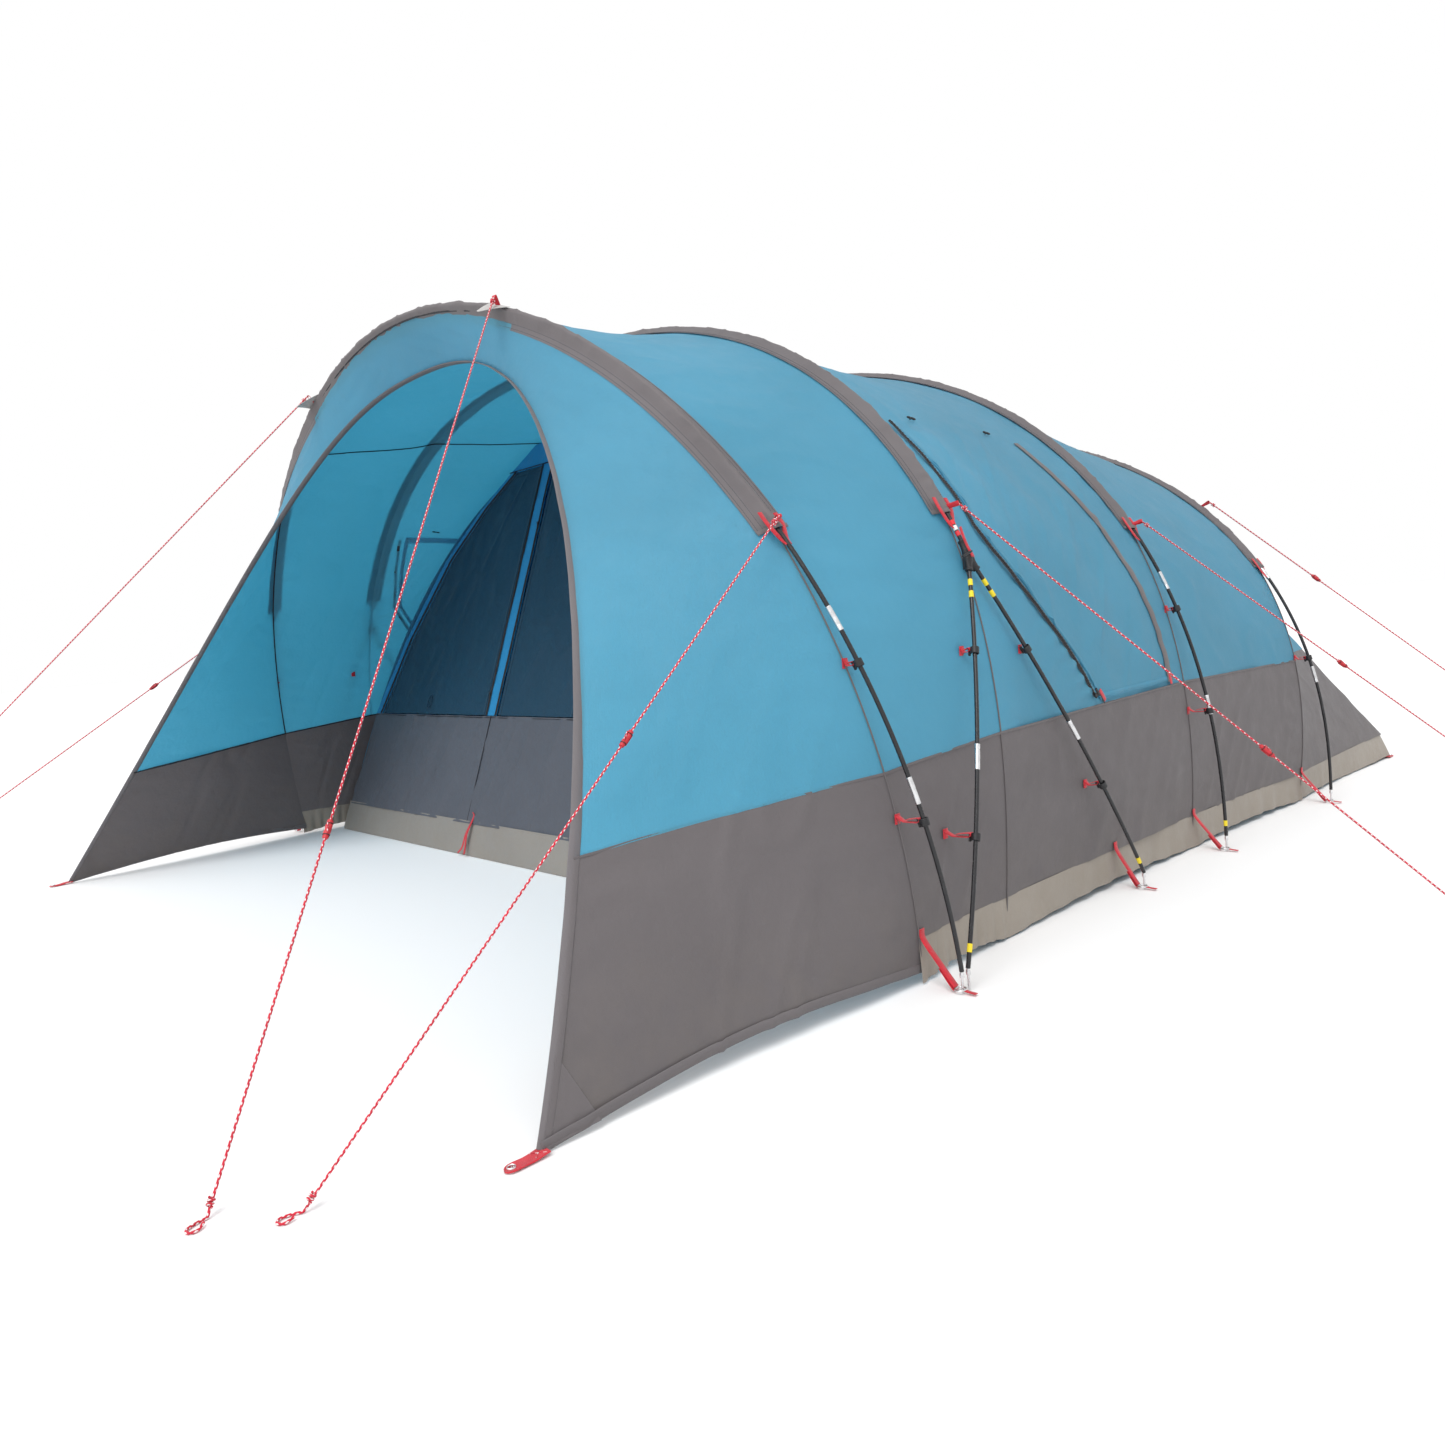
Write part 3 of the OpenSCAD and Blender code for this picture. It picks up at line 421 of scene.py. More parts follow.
class Shader:
    """A node material in the making. Coordinates are the object's own, in metres, or the mesh's texture
    places."""

    def __init__(self, name):
        self.mat = bpy.data.materials.new(name)
        self.mat.use_nodes = True
        self.tree = self.mat.node_tree
        self.tree.nodes.clear()
        self.out = self.tree.nodes.new("ShaderNodeOutputMaterial")
        self.coords = self.tree.nodes.new("ShaderNodeTexCoord")
        self.main = self.node("ShaderNodeBsdfPrincipled")
        self.link(self.main.outputs[0], self.out.inputs[0])

    def node(self, kind, inputs=None, **settings):
        made = self.tree.nodes.new(kind)
        for name, value in settings.items():
            setattr(made, name, value)
        for name, value in (inputs or {}).items():
            if isinstance(value, bpy.types.NodeSocket):
                self.link(value, made.inputs[name])
            else:
                made.inputs[name].default_value = value
        return made

    def link(self, a, b):
        self.tree.links.new(a, b)

    def scaled(self, scale, place="Object"):
        at = self.node("ShaderNodeMapping", {"Vector": self.coords.outputs[place]})
        at.inputs["Scale"].default_value = scale
        return at.outputs[0]

    def noise(self, size, detail=3, place="Object", rough=0.55, kind="FBM"):
        scale = size if hasattr(size, "__len__") else (size, size, size)
        at = self.scaled([1 / s for s in scale], place)
        made = self.node("ShaderNodeTexNoise",
                         {"Vector": at, "Scale": 1.0, "Detail": detail, "Roughness": rough},
                         noise_type=kind)
        return made.outputs[0]

    def bands(self, size, place="UV", direction="X"):
        at = self.scaled((1 / size, 1 / size, 1 / size), place)
        # a wave texture at scale 1 repeats every pi / 10 units
        made = self.node("ShaderNodeTexWave", {"Vector": at, "Scale": 2 * PI / 20 * 1.0, "Distortion": 0.0},
                         bands_direction=direction)
        return made.outputs[1]

    def math(self, operation, a, b=0.0, c=0.0, clamp=False):
        made = self.node("ShaderNodeMath", operation=operation, use_clamp=clamp)
        for k, value in enumerate((a, b, c)):
            if isinstance(value, bpy.types.NodeSocket):
                self.link(value, made.inputs[k])
            else:
                made.inputs[k].default_value = value
        return made.outputs[0]

    def span(self, value, low, high, to_low=0.0, to_high=1.0):
        made = self.node("ShaderNodeMapRange", {0: value, 1: low, 2: high, 3: to_low, 4: to_high})
        return made.outputs[0]

    def blend(self, factor, a, b):
        made = self.node("ShaderNodeMix", data_type="RGBA")
        for k, value in ((0, factor), (6, a), (7, b)):
            if isinstance(value, bpy.types.NodeSocket):
                self.link(value, made.inputs[k])
            else:
                made.inputs[k].default_value = value if k == 0 else (*value, 1)
        return made.outputs[2]

    def bump(self, height, distance, strength=1.0, under=None):
        made = self.node("ShaderNodeBump", {"Height": height, "Distance": distance, "Strength": strength})
        if under is not None:
            self.link(under, made.inputs["Normal"])
        return made.outputs[0]

    def surface(self, colour, roughness, normal=None, **uniform):
        for name, value in (("Base Color", colour), ("Roughness", roughness), ("Normal", normal)):
            if isinstance(value, bpy.types.NodeSocket):
                self.link(value, self.main.inputs[name])
            elif value is not None:
                self.main.inputs[name].default_value = (*value, 1) if name == "Base Color" else value
        for name, value in uniform.items():
            self.main.inputs[name.replace("_", " ")].default_value = value
        return self.mat


def tinted(colour, f):
    return tuple(min(1.0, c * f) for c in colour)


def cloth_material(name, colour, see_through=0.4, gloss=0.5, crumple=1.0, dust_and_shade=0.0, glow=None):
    """Coated plain-weave cloth: uneven tone, fine creases, threads, and dirt with painted shade near the ground."""
    s = Shader(name)
    tone = s.noise((0.5, 0.5, 0.35), 4)
    base = s.blend(s.span(tone, 0.3, 0.7), tinted(colour, 0.93), tinted(colour, 1.06))
    # painted shade and dirt: near the ground the cloth is blended towards brown in noisy patches, for dirt and for
    # the shade where it meets the floor
    if dust_and_shade:
        height = s.node("ShaderNodeSeparateXYZ", {0: s.coords.outputs["Object"]}).outputs[2]
        low = s.span(height, 0.0, 0.32, 1.0, 0.0)
        dust_and_shade_mix = s.math("MULTIPLY", low, s.span(s.noise(0.09, 5), 0.35, 0.75, 0.0, dust_and_shade))
        base = s.blend(dust_and_shade_mix, base, (0.27, 0.23, 0.18))
    thread = s.math("MULTIPLY", s.bands(0.0016, "UV", "X"), s.bands(0.0016, "UV", "Y"))
    base = s.blend(s.math("MULTIPLY", thread, 0.14), base, tinted(colour, 1.25))
    fold = s.noise((0.2, 0.2, 0.13), 4, kind="RIDGED_MULTIFRACTAL", rough=0.45)
    crinkle = s.noise(0.045, 5, rough=0.6)
    normal = s.bump(fold, 0.0042 * crumple, 0.75)
    normal = s.bump(crinkle, 0.0034 * crumple, 0.7, normal)
    normal = s.bump(thread, 0.0004, 0.35, normal)
    rough = s.span(s.noise(0.06, 4), 0.3, 0.7, gloss - 0.07, gloss + 0.09)
    mat = s.surface(base, rough, normal, Sheen_Weight=0.12, Sheen_Roughness=0.4, Specular_IOR_Level=0.35)
    if see_through:
        lit = s.blend(0.0, base, base) if glow is None else s.blend(0.85, base, glow)
        through = s.node("ShaderNodeBsdfTranslucent", {"Color": lit, "Normal": normal})
        both = s.node("ShaderNodeMixShader", {0: see_through, 1: s.main.outputs[0], 2: through.outputs[0]})
        s.link(both.outputs[0], s.out.inputs[0])
    return mat


def webbing_material(name, colour):
    """Woven tape: ribs across and worn fibres."""
    s = Shader(name)
    rib = s.bands(0.0022, "UV", "Y")
    twill = s.bands(0.0016, "UV", "DIAGONAL")
    tone = s.span(s.noise(0.03, 4), 0.3, 0.7)
    base = s.blend(tone, tinted(colour, 0.78), tinted(colour, 1.15))
    base = s.blend(s.math("MULTIPLY", rib, 0.35), base, tinted(colour, 0.45))
    worn = s.span(s.noise(0.008, 5), 0.62, 0.8, 0.0, 0.3)
    base = s.blend(worn, base, tuple(mix(c, 0.7, 0.4) for c in colour))
    normal = s.bump(rib, 0.0006, 0.7, s.bump(twill, 0.0004, 0.5))
    return s.surface(base, s.span(tone, 0, 1, 0.62, 0.8), normal, Sheen_Weight=0.25, Specular_IOR_Level=0.3)


def cord_material(name, red, fleck):
    """Round braid: red strands with pale ones crossing them every 14 mm."""
    s = Shader(name)
    place = s.node("ShaderNodeSeparateXYZ", {0: s.coords.outputs["UV"]})
    round_it, along = place.outputs[0], place.outputs[1]
    rise = s.math("MULTIPLY", along, 1 / 0.014)
    one = s.math("FRACT", s.math("ADD", s.math("MULTIPLY", round_it, 2.0), rise))
    two = s.math("FRACT", s.math("SUBTRACT", rise, s.math("MULTIPLY", round_it, 2.0)))
    pale = s.math("MULTIPLY", s.math("LESS_THAN", one, 0.42), s.math("LESS_THAN", two, 0.5))
    fine = s.math("MULTIPLY", along, 1 / 0.0035)
    strand = s.math("PINGPONG", s.math("ADD", s.math("MULTIPLY", round_it, 8.0), fine), 0.5)
    other = s.math("PINGPONG", s.math("SUBTRACT", s.math("MULTIPLY", round_it, 8.0), fine), 0.5)
    weave = s.math("MULTIPLY", strand, other)
    tone = s.span(s.noise(0.02, 3), 0.3, 0.7)
    base = s.blend(pale, s.blend(tone, tinted(red, 0.8), tinted(red, 1.15)), fleck)
    normal = s.bump(weave, 0.0012, 0.9)
    return s.surface(base, s.span(tone, 0, 1, 0.6, 0.75), normal, Sheen_Weight=0.2, Specular_IOR_Level=0.3)


def steel_material():
    """Drawn steel tube: fine lines along it, small scratches and a few dull patches."""
    s = Shader("drawn_steel")
    lines = s.noise((0.0006, 0.0006, 0.05), 3)
    dull = s.noise(0.02, 4)
    base = s.blend(s.span(dull, 0.3, 0.7), (0.62, 0.62, 0.63), (0.8, 0.8, 0.81))
    return s.surface(base, s.span(dull, 0.3, 0.7, 0.2, 0.36), s.bump(lines, 0.0002, 0.4), Metallic=1.0)


def pole_material():
    """Wrapped fibreglass rod, black, with a faint spiral of the wrapping film."""
    s = Shader("black_fibreglass")
    spiral = s.bands(0.009, "UV", "DIAGONAL")
    scuff = s.span(s.noise((0.006, 0.006, 0.05), 5), 0.6, 0.75, 0.0, 0.35)
    base = s.blend(scuff, (0.012, 0.012, 0.014), (0.09, 0.09, 0.095))
    rough = s.span(s.noise(0.03, 4), 0.3, 0.7, 0.22, 0.38)
    return s.surface(base, rough, s.bump(spiral, 0.0003, 0.3), Specular_IOR_Level=0.5)


def plastic_material(name, colour, rough=0.45):
    """Moulded plastic with a fine grain and paler rubbed edges."""
    s = Shader(name)
    rub = s.span(s.noise(0.004, 5), 0.58, 0.75, 0.0, 0.3)
    base = s.blend(rub, colour, tuple(mix(c, 0.5, 0.25) for c in colour))
    grain = s.noise(0.0009, 3)
    return s.surface(base, s.span(s.noise(0.01, 4), 0.3, 0.7, rough - 0.08, rough + 0.1),
                     s.bump(grain, 0.0002, 0.5), Specular_IOR_Level=0.45)


def zip_material():
    s = Shader("zip_black")
    rib = s.bands(0.0014, "UV", "Y")
    base = s.blend(s.span(s.noise(0.01, 4), 0.3, 0.7), (0.008, 0.009, 0.012), (0.03, 0.032, 0.038))
    return s.surface(base, 0.6, s.bump(rib, 0.0004, 0.6), Sheen_Weight=0.2)


BLUE = (0.13, 0.4, 0.54)
BLUE_GLOW = (0.24, 0.74, 0.9)
GREY = (0.165, 0.15, 0.155)
fly_blue = cloth_material("fly_blue_cloth", BLUE, 0.5, 0.5, crumple=1.5, glow=BLUE_GLOW)
# the darkening towards the ground set for these cloths is partly dirt and partly painted shade
fly_grey = cloth_material("fly_grey_cloth", GREY, 0.28, 0.52, crumple=1.3, dust_and_shade=0.25, glow=(0.3, 0.28, 0.29))
trim_grey = cloth_material("trim_grey_cloth", (0.185, 0.167, 0.172), 0.3, 0.58, crumple=1.4,
                           glow=(0.6, 0.62, 0.66))
skirt_beige = cloth_material("skirt_cloth", (0.33, 0.295, 0.255), 0.12, 0.6, crumple=1.6, dust_and_shade=0.45)
tub_beige = cloth_material("groundsheet_cloth", (0.27, 0.255, 0.235), 0.1, 0.6, crumple=1.3, dust_and_shade=0.3)
inner_blue = cloth_material("inner_roof_cloth", (0.1, 0.36, 0.56), 0.5, 0.6)
inner_grey = cloth_material("inner_grey_cloth", (0.105, 0.115, 0.14), 0.2, 0.6, crumple=1.3)
strip_blue = cloth_material("blue_strip_cloth", (0.03, 0.29, 0.58), 0.25, 0.5)
navy = cloth_material("navy_door_cloth", (0.008, 0.045, 0.085), 0.12, 0.55, crumple=1.2)
webbing = webbing_material("red_webbing_tape", (0.62, 0.018, 0.035))
cord_red = cord_material("braided_cord", (0.55, 0.012, 0.035), (0.8, 0.72, 0.72))
steel = steel_material()
pole_black = pole_material()
plastic_black = plastic_material("moulded_black", (0.012, 0.012, 0.014))
plastic_red = plastic_material("moulded_red", (0.5, 0.02, 0.03))
tape_yellow = plastic_material("yellow_tape", (0.8, 0.62, 0.02), 0.5)
tape_red = plastic_material("red_tape", (0.65, 0.02, 0.03), 0.5)
zip_black = zip_material()
piping = plastic_material("dark_piping", (0.012, 0.014, 0.02), 0.6)

# ---------- guy lines ----------

START_FRONT, START_1, START_2 = (0.67, -1.525, 1.855), (1.615, -1.425, 1.115), (1.73, -0.86, 1.14)
START_3, START_4 = (1.72, 0.255, 1.105), (1.56, 1.27, 1.215)
# name: start, pegging point, the adjuster's fraction of the way down, length of cord
GUYS = {
    "front_right": (START_FRONT, (1.49, -2.75), 0.72, 2.46),
    "arch_1_right": (START_1, (1.6, -2.64), 0.42, 1.74),
    "arch_2_right": (START_2, (2.7, -0.18), 0.62, 1.73),
    "arch_3_right": (START_3, (2.62, 1.36), 0.5, 1.89),
    "arch_4_right": (START_4, (2.7, 2.01), 0.3, 1.91),
    "front_left": (flip_x(START_FRONT), (-2.08, -3.13), 0.7, 2.92),
    "arch_1_left": (flip_x(START_1), (-1.63, -3.15), 0.3, 2.15),
}
PEG_LINE_Z = 0.0029


def guy_route(start, peg):
    """A straight taut line, then a loop that lies on the ground round the pegging point."""
    start, g = np.asarray(start, float), np.array([*peg, PEG_LINE_Z])
    d = unit(np.array([start[0] - peg[0], start[1] - peg[1], 0]))
    e = np.array([-d[1], d[0], 0])
    lift = np.array([0, 0, 0.003])
    line = [mix(start, g, f) for f in np.arange(0, 0.95, 0.1)]
    loop = [g, g - d * 0.014 + e * 0.007, g - d * 0.032 + e * 0.01, g - d * 0.04,
            g - d * 0.032 - e * 0.01, g - d * 0.016 - e * 0.008 + lift]
    return np.array(line + loop), g, d


def make_adjuster(name, start, g, fraction):
    """Three-hole slide: a rounded flat body with its cord bores, grip notches and a short tail of cord."""
    at = mix(np.asarray(start, float), g, fraction)
    up = unit(np.asarray(start, float) - g)
    side = unit(np.cross(up, [0, 0, 1]))
    face = np.cross(side, up)
    p = Piece(f"adjuster_{name}_slide")
    steps = np.linspace(0, 1, 15)
    half = 0.0066 + 0.0012 * np.cos(steps * 2 * PI * 3) * (np.abs(steps - 0.5) < 0.42)
    half[[0, -1]] = 0.0046
    sections = np.stack([oval(h, 0.0055, 14) for h in half])
    p.sweep(at + up * (0.001 + 0.04 * steps[:, None]), sections, across=side)
    p.sweep([at + up * 0.008 - face * 0.0066, at + up * 0.034 - face * 0.0066], oval(0.0035, 0.0013, 10),
            across=side)
    tail = smooth_path([at + up * 0.03 + face * 0.005, at + up * 0.034 + face * 0.0072,
                        at + up * 0.02 + face * 0.0076 + side * 0.004,
                        at + up * 0.012 + face * 0.0074 + side * 0.0066], 6)
    p.sweep(tail, circle(0.0016, 8), slot=1, around_uv=True)
    obj = p.make(plastic_red, cord_red, body=f"adjuster_{name}", slot="red_plastic",
                 replaces=[f"adjuster_{name}"])
    grip = Piece(f"adjuster_{name}_grip")
    for s in (0.009, 0.033):
        ring = at + up * s
        around = circle(1, 20)
        path = ring + side * around[:, :1] * 0.0069 + face * around[:, 1:] * 0.0058
        grip.sweep(path, circle(0.0009, 8), across=up, closed=True)
    mark = grip.make(plastic_black, body=f"adjuster_{name}", slot="red_plastic")
    return [obj, mark]


def knot_mesh(piece, at, along, r=0.0052):
    """A small overhand knot: two and a half turns round the line."""
    d = unit(along)
    a = unit(np.cross(d, [0.3, 0.2, 0.9]))
    b = np.cross(d, a)
    t = np.linspace(0, 2.5 * 2 * PI, 46)[:, None]
    path = at + a * np.cos(t) * r + b * np.sin(t) * r + d * (t / (5 * PI) - 0.5) * 0.014
    return piece.sweep(path, circle(0.0021, 8), around_uv=True)


def make_guys():
    for name, (start, peg, fraction, length) in GUYS.items():
        route, g, _ = guy_route(start, peg)
        back = unit(np.asarray(start, float) - g)
        line = resample([start, g + back * 0.016], 0.004)
        loop = smooth_path(np.vstack([g + back * 0.032, line[-1:], route[10:]]), 10)[10:]
        path = np.vstack([line[:-1], resample(loop, 0.002)])
        path[:, 2] = np.maximum(path[:, 2], PEG_LINE_Z)
        around, along = np.arange(10) / 10, run(path)[:, None]
        swell = 1 + 0.05 * np.cos(2 * PI * (4 * around[None] + along
                                            / 0.014)) * np.cos(2 * PI * (4 * around[None] - along / 0.014))
        section = circle(1, 10)[None] * (GUY_D / 2 * swell)[..., None]
        cord = Piece(f"guy_line_{name}").sweep(path, section, around_uv=True)
        cord = cord.make(cord_red, slot="guy_cord", replaces=[f"guy_{name}"])
        knots = Piece(f"guy_knots_{name}")
        ahead = unit(g - np.asarray(start, float))
        knot_mesh(knots, np.asarray(start, float) + ahead * 0.022, ahead)
        knot_mesh(knots, g - ahead * 0.02 + np.array([0, 0, 0.0035]), ahead, 0.0045)
        knots = knots.make(cord_red, slot="guy_cord")
        slides = make_adjuster(name, start, g, fraction)


make_guys()

# ---------- fly sheet ----------

FLAP_W = (0.003, 0.205)
CLIPS = [(0, 0.764), (0, 0.4), (2, 0.805), (2, 0.465), (3, 0.56), (4, 0.76), (4, 0.33), (5, 0.745), (5, 0.34)]


def settle(p, near_arch, amount=1.0, seed=0):
    """Moves a cloth grid out and in by its folds. near_arch is each point's distance from the nearest pole
    line."""
    q = p * np.array([1.0, 1.0, 1.0])
    calm = 1 - np.exp(-((near_arch / 0.1) ** 2))
    broad = noise(q, 0.55, seed) * 0.009 + noise(q, 0.22, seed + 1) * 0.004
    slant = q[..., [0, 1, 2]] @ np.array([[0.9, 0.3, 0.2], [-0.3, 0.85, 0.4], [-0.1, -0.45, 0.9]])
    patch = np.clip(noise(q, 0.6, seed + 2) * 1.5 + 0.25, 0, 1)
    folds = crease(slant, (0.34, 0.09, 0.5), seed + 3) * 0.0065 * patch
    folds = folds + crease(slant[..., [1, 0, 2]], (0.3, 0.11, 0.2), seed + 4) * 0.0045 * (1 - patch)
    pull = np.exp(-((near_arch / 0.13) ** 2)) * (1 - np.exp(-((near_arch / 0.05) ** 4)))
    reach = noise(q, 0.3, seed + 5) * 0.5 + 0.5
    ripple = np.sin(2 * PI * (q[..., 2] + 0.5 * np.abs(q[..., 0])) / 0.062 + 3 * noise(q, 0.15, seed + 6))
    move = broad * calm + folds * calm + ripple * pull * reach * 0.0045
    return p + out_dir(p) * (move * amount)[..., None]


def bay_grid(i, j, us, ws):
    u, w = np.broadcast_arrays(us, ws)
    p = roof_pt(i, j, u, w)
    width = np.linalg.norm(roof_pt(i, j, u * 0 + 1, w) - roof_pt(i, j, u * 0, w), axis=-1)
    return p, np.minimum(u, 1 - u) * width


def declare(obj):
    return obj


def make_roof_bay(name, i, j, rows):
    us = np.linspace(0, 1, rows + 1)[:, None]
    ws = np.linspace(0, 1, 321)[None, :]
    p, near = bay_grid(i, j, us, ws)
    p = settle(p, near, seed=i * 17)
    obj = Piece(name).shell(p).make(fly_blue, slot="blue_fly_cloth", replaces=[name.replace("_cloth", "")])
    return declare(obj)


def middle_grid(extra=0.0):
    """Grid of the middle bay whose rows follow the window flap's two edges."""
    low = np.linspace(0, FLAP_W[0], 2)
    side = np.linspace(FLAP_W[0], FLAP_W[1], 92)[1:]
    top = np.linspace(FLAP_W[1], 1 - FLAP_W[1], 160)[1:-1]
    ws = np.concatenate([low, side, top, 1 - side[::-1], 1 - low[::-1]])
    z = roof_pt(1, 2, ws * 0 + 0.5, ws)[..., 2]
    u0, u1 = flap_u0(z) + extra, flap_u1(z) - extra
    parts = (np.linspace(0, 1, 27)[:-1], np.linspace(0, 1, 45)[:-1], np.linspace(0, 1, 15))
    us = np.concatenate([parts[0][:, None] * u0, mix(u0, u1, parts[1][:, None]),
                         mix(u1, 1, parts[2][:, None])])
    return us, np.broadcast_to(ws, us.shape), len(parts[0]), len(parts[0]) + len(parts[1])


def slack_by_zip(p, u, seed=5):
    """Gathers in the cloth just in front of the window's zip, low down."""
    z = p[..., 2]
    beside = np.exp(-(((u - flap_u0(z) + 0.04) / 0.045) ** 2)) * np.clip((0.92 - z) / 0.2, 0,
                                                                         1) * np.clip((z - 0.5) / 0.08, 0, 1)
    pleat = np.sin(2 * PI * (z - 0.35 * p[..., 1]) / 0.055 + 2.5 * noise(p, 0.12, seed))
    return p + out_dir(p) * (beside * (pleat * 0.0035 + 0.004))[..., None]


def make_middle_bay():
    us, ws, first, last = middle_grid(0.02)
    p, near = bay_grid(1, 2, us, ws)
    p = slack_by_zip(settle(p, near, seed=17), us)
    keep = np.ones((p.shape[0] - 1, p.shape[1] - 1), bool)
    w_mid = (ws[0, 1:] + ws[0, :-1]) / 2
    inside = np.minimum(w_mid, 1 - w_mid)
    hole = (inside > FLAP_W[0]) & (inside < FLAP_W[1] - 0.008)
    keep[first:last][:, hole] = False
    obj = Piece("fly_roof_middle_cloth").shell(p, keep=keep)
    obj = obj.make(fly_blue, slot="blue_fly_cloth", replaces=["fly_roof_middle"])
    return declare(obj)


def make_hood():
    t0, o0 = angle_at(0, SEAM_Z[0]), opening_angle(OPENING_SEAM_Z)
    w = np.linspace(0, 1, 341)
    a, b = cloth_pt(0, mix(t0, PI - t0, w)), opening_pt(mix(o0, PI - o0, w))
    f = np.linspace(0, 1, 41)[:, None]
    p = mix(a[None], b[None], f[..., None])
    wide = np.linalg.norm(b - a, axis=-1)
    near = np.minimum(f, 1 - f) * wide[None]
    sag = 4 * f * (1 - f) * wide[None] * 0.022
    p = p - out_dir(p) * sag[..., None]
    p = settle(p, near, seed=61)
    obj = Piece("fly_hood_cloth").shell(p).make(fly_blue, slot="blue_fly_cloth", replaces=["fly_hood"])
    return declare(obj)


def make_wing(side):
    """Grey cloth from the first arch to the porch corner; its lower edge lifts a little between the two
    pegs."""
    c = np.linspace(0, 1, 33)[None, :]
    f = np.linspace(0, 1, 61)[:, None]
    lift = 0.028 * np.sin(PI * f) * (1 - c)
    za = mix(0.03, SEAM_Z[0], c) + f * 0
    zo = mix(0.006, OPENING_SEAM_Z, c) + f * 0
    a = wall_pt(0, za)
    b = np.stack([opening_x(zo), opening_y(zo), zo], -1)
    p = mix(a, b, f[..., None])
    p[..., 2] += lift
    wide = np.linalg.norm(b - a, axis=-1)
    near = np.minimum(f, 1 - f) * wide
    p = p - out_dir(p) * (4 * f * (1 - f) * wide * 0.022 * (0.3 + 0.7 * c))[..., None]
    p = settle(p, near, seed=61)
    p[..., 0] *= side
    name = "right" if side > 0 else "left"
    obj = Piece(f"porch_wing_{name}_cloth").shell(p)
    obj = obj.make(fly_grey, slot="grey_fly_cloth", replaces=[f"porch_wing_{name}"])
    return declare(obj)


def side_stations(count):
    """Places along the side wall from the first arch to the last, finer near each arch."""
    s = np.linspace(0, 1, count + 1)
    return np.concatenate([[k + v for v in s[: -1 if k < 2 else None]] for k in range(3)])


def wall_surface(s, c, low):
    i = np.minimum(np.floor(s).astype(int), 2)
    f = s - i
    p = np.zeros((*s.shape, 3))
    for k in range(3):
        za, zb = mix(low, SEAM_Z[k], c), mix(low, SEAM_Z[k + 1], c)
        q = mix(wall_pt(k, za), wall_pt(k + 1, zb), f[..., None])
        p = np.where((i == k)[..., None], q, p)
    p[..., 0] -= 0.0045 * 4 * f * (1 - f)
    bays = np.array([np.diff(ARCH_Y)[k] for k in range(3)])
    near = np.minimum(f, 1 - f) * bays[i]
    return p, near


def make_wall(side):
    s, c = np.meshgrid(side_stations(46), np.linspace(0, 1, 29), indexing="ij")
    p, near = wall_surface(s, c, SKIRT_TOP)
    p = settle(p, near, seed=23)
    p[..., 0] *= side
    name = "right" if side > 0 else "left"
    obj = Piece(f"fly_wall_{name}_cloth").shell(p)
    obj = obj.make(fly_grey, slot="grey_fly_cloth", replaces=[f"fly_wall_{name}"])
    return declare(obj)


def back_points(low_z, count):
    t = np.linspace(angle_at(3, low_z), PI - angle_at(3, low_z), count)
    a, b = cloth_pt(3, t), back_edge(back_angle(t, angle_at(3, SEAM_Z[3])))
    f = (a[..., 2] - SEAM_Z[3]) / np.maximum(a[..., 2] - b[..., 2], 1e-3)
    return a, b, np.clip(f, 0, 1)


def make_back():
    a, b, f = back_points(SEAM_Z[3] + 0.004, 331)
    r = np.linspace(0, 1, 61)[:, None]
    share = r * f[None]
    p = mix(a[None], b[None], share[..., None])
    wide = np.linalg.norm(b - a, axis=-1)[None] * share
    sag = np.sin(PI * np.clip(share, 0, 1)) * 0.035 * np.clip(f[None] * 2, 0, 1)
    p = p - out_dir(p) * sag[..., None]
    p = settle(p, wide, seed=41)
    obj = Piece("fly_back_cloth").shell(p).make(fly_blue, slot="blue_fly_cloth", replaces=["fly_back"])
    declare(obj)


def make_wall_back():
    a, b, f = back_points(SEAM_Z[3], 301)
    top = mix(a, b, f[..., None])
    sag = np.sin(PI * f) * 0.035 * np.clip(f * 2, 0, 1)
    top = top - out_dir(top) * sag[..., None]
    r = np.linspace(0, 1, 31)[:, None]
    p = mix(top[None], b[None], r[..., None])
    near = np.abs(p[..., 1] - ARCH_Y[3]) + 0.0 * r
    p = settle(p, near, seed=41)
    obj = Piece("fly_wall_back_cloth").shell(p).make(fly_grey, slot="grey_fly_cloth",
                                                     replaces=["fly_wall_back"])
    declare(obj)


def make_skirts():
    """Mud skirts: gathered cloth that touches the ground at each foot and lifts in a scallop between."""
    p = Piece("mud_skirt_cloth")
    s, c = np.meshgrid(side_stations(60), np.linspace(0, 1, 9), indexing="ij")
    f = s - np.minimum(np.floor(s), 2)
    low = 0.004 + 0.016 * np.sin(PI * f)
    for side in (1, -1):
        q, _ = wall_surface(s, c * 0, SKIRT_TOP)
        z = mix(low, SKIRT_TOP + 0.002, c)
        q[..., 2] = z
        gather = noise(np.stack([s * 0, s * 1.1, z * 0.3], -1), 0.05,
                       7) * 0.006 + np.sin(2 * PI * s * 9) * 0.003
        q[..., 0] += (1 - c) * (gather + 0.004) - 0.001
        q[..., 0] *= side
        p.shell(q)
    t, c = np.meshgrid(np.linspace(0, PI, 260), np.linspace(0, 1, 9), indexing="ij")
    q = back_edge(t)
    z = mix(0.005 + 0.006 * np.sin(t * 6) ** 2, SKIRT_TOP + 0.002, c)
    q[..., 2] = z
    gather = noise(np.stack([t * 0, t * 1.8, z * 0.3], -1), 0.05, 9) * 0.006
    out = out_dir(q) * np.array([1, 1, 0])
    corner = np.exp(-(((np.minimum(t, PI - t) - PI / 4) / 0.2) ** 2))
    q = q + out * ((1 - c) * (gather + corner * 0.04))[..., None]
    p.shell(q, outward=out)
    obj = p.make(skirt_beige, slot="skirt_cloth", replaces=["mud_skirts"])
    declare(obj)


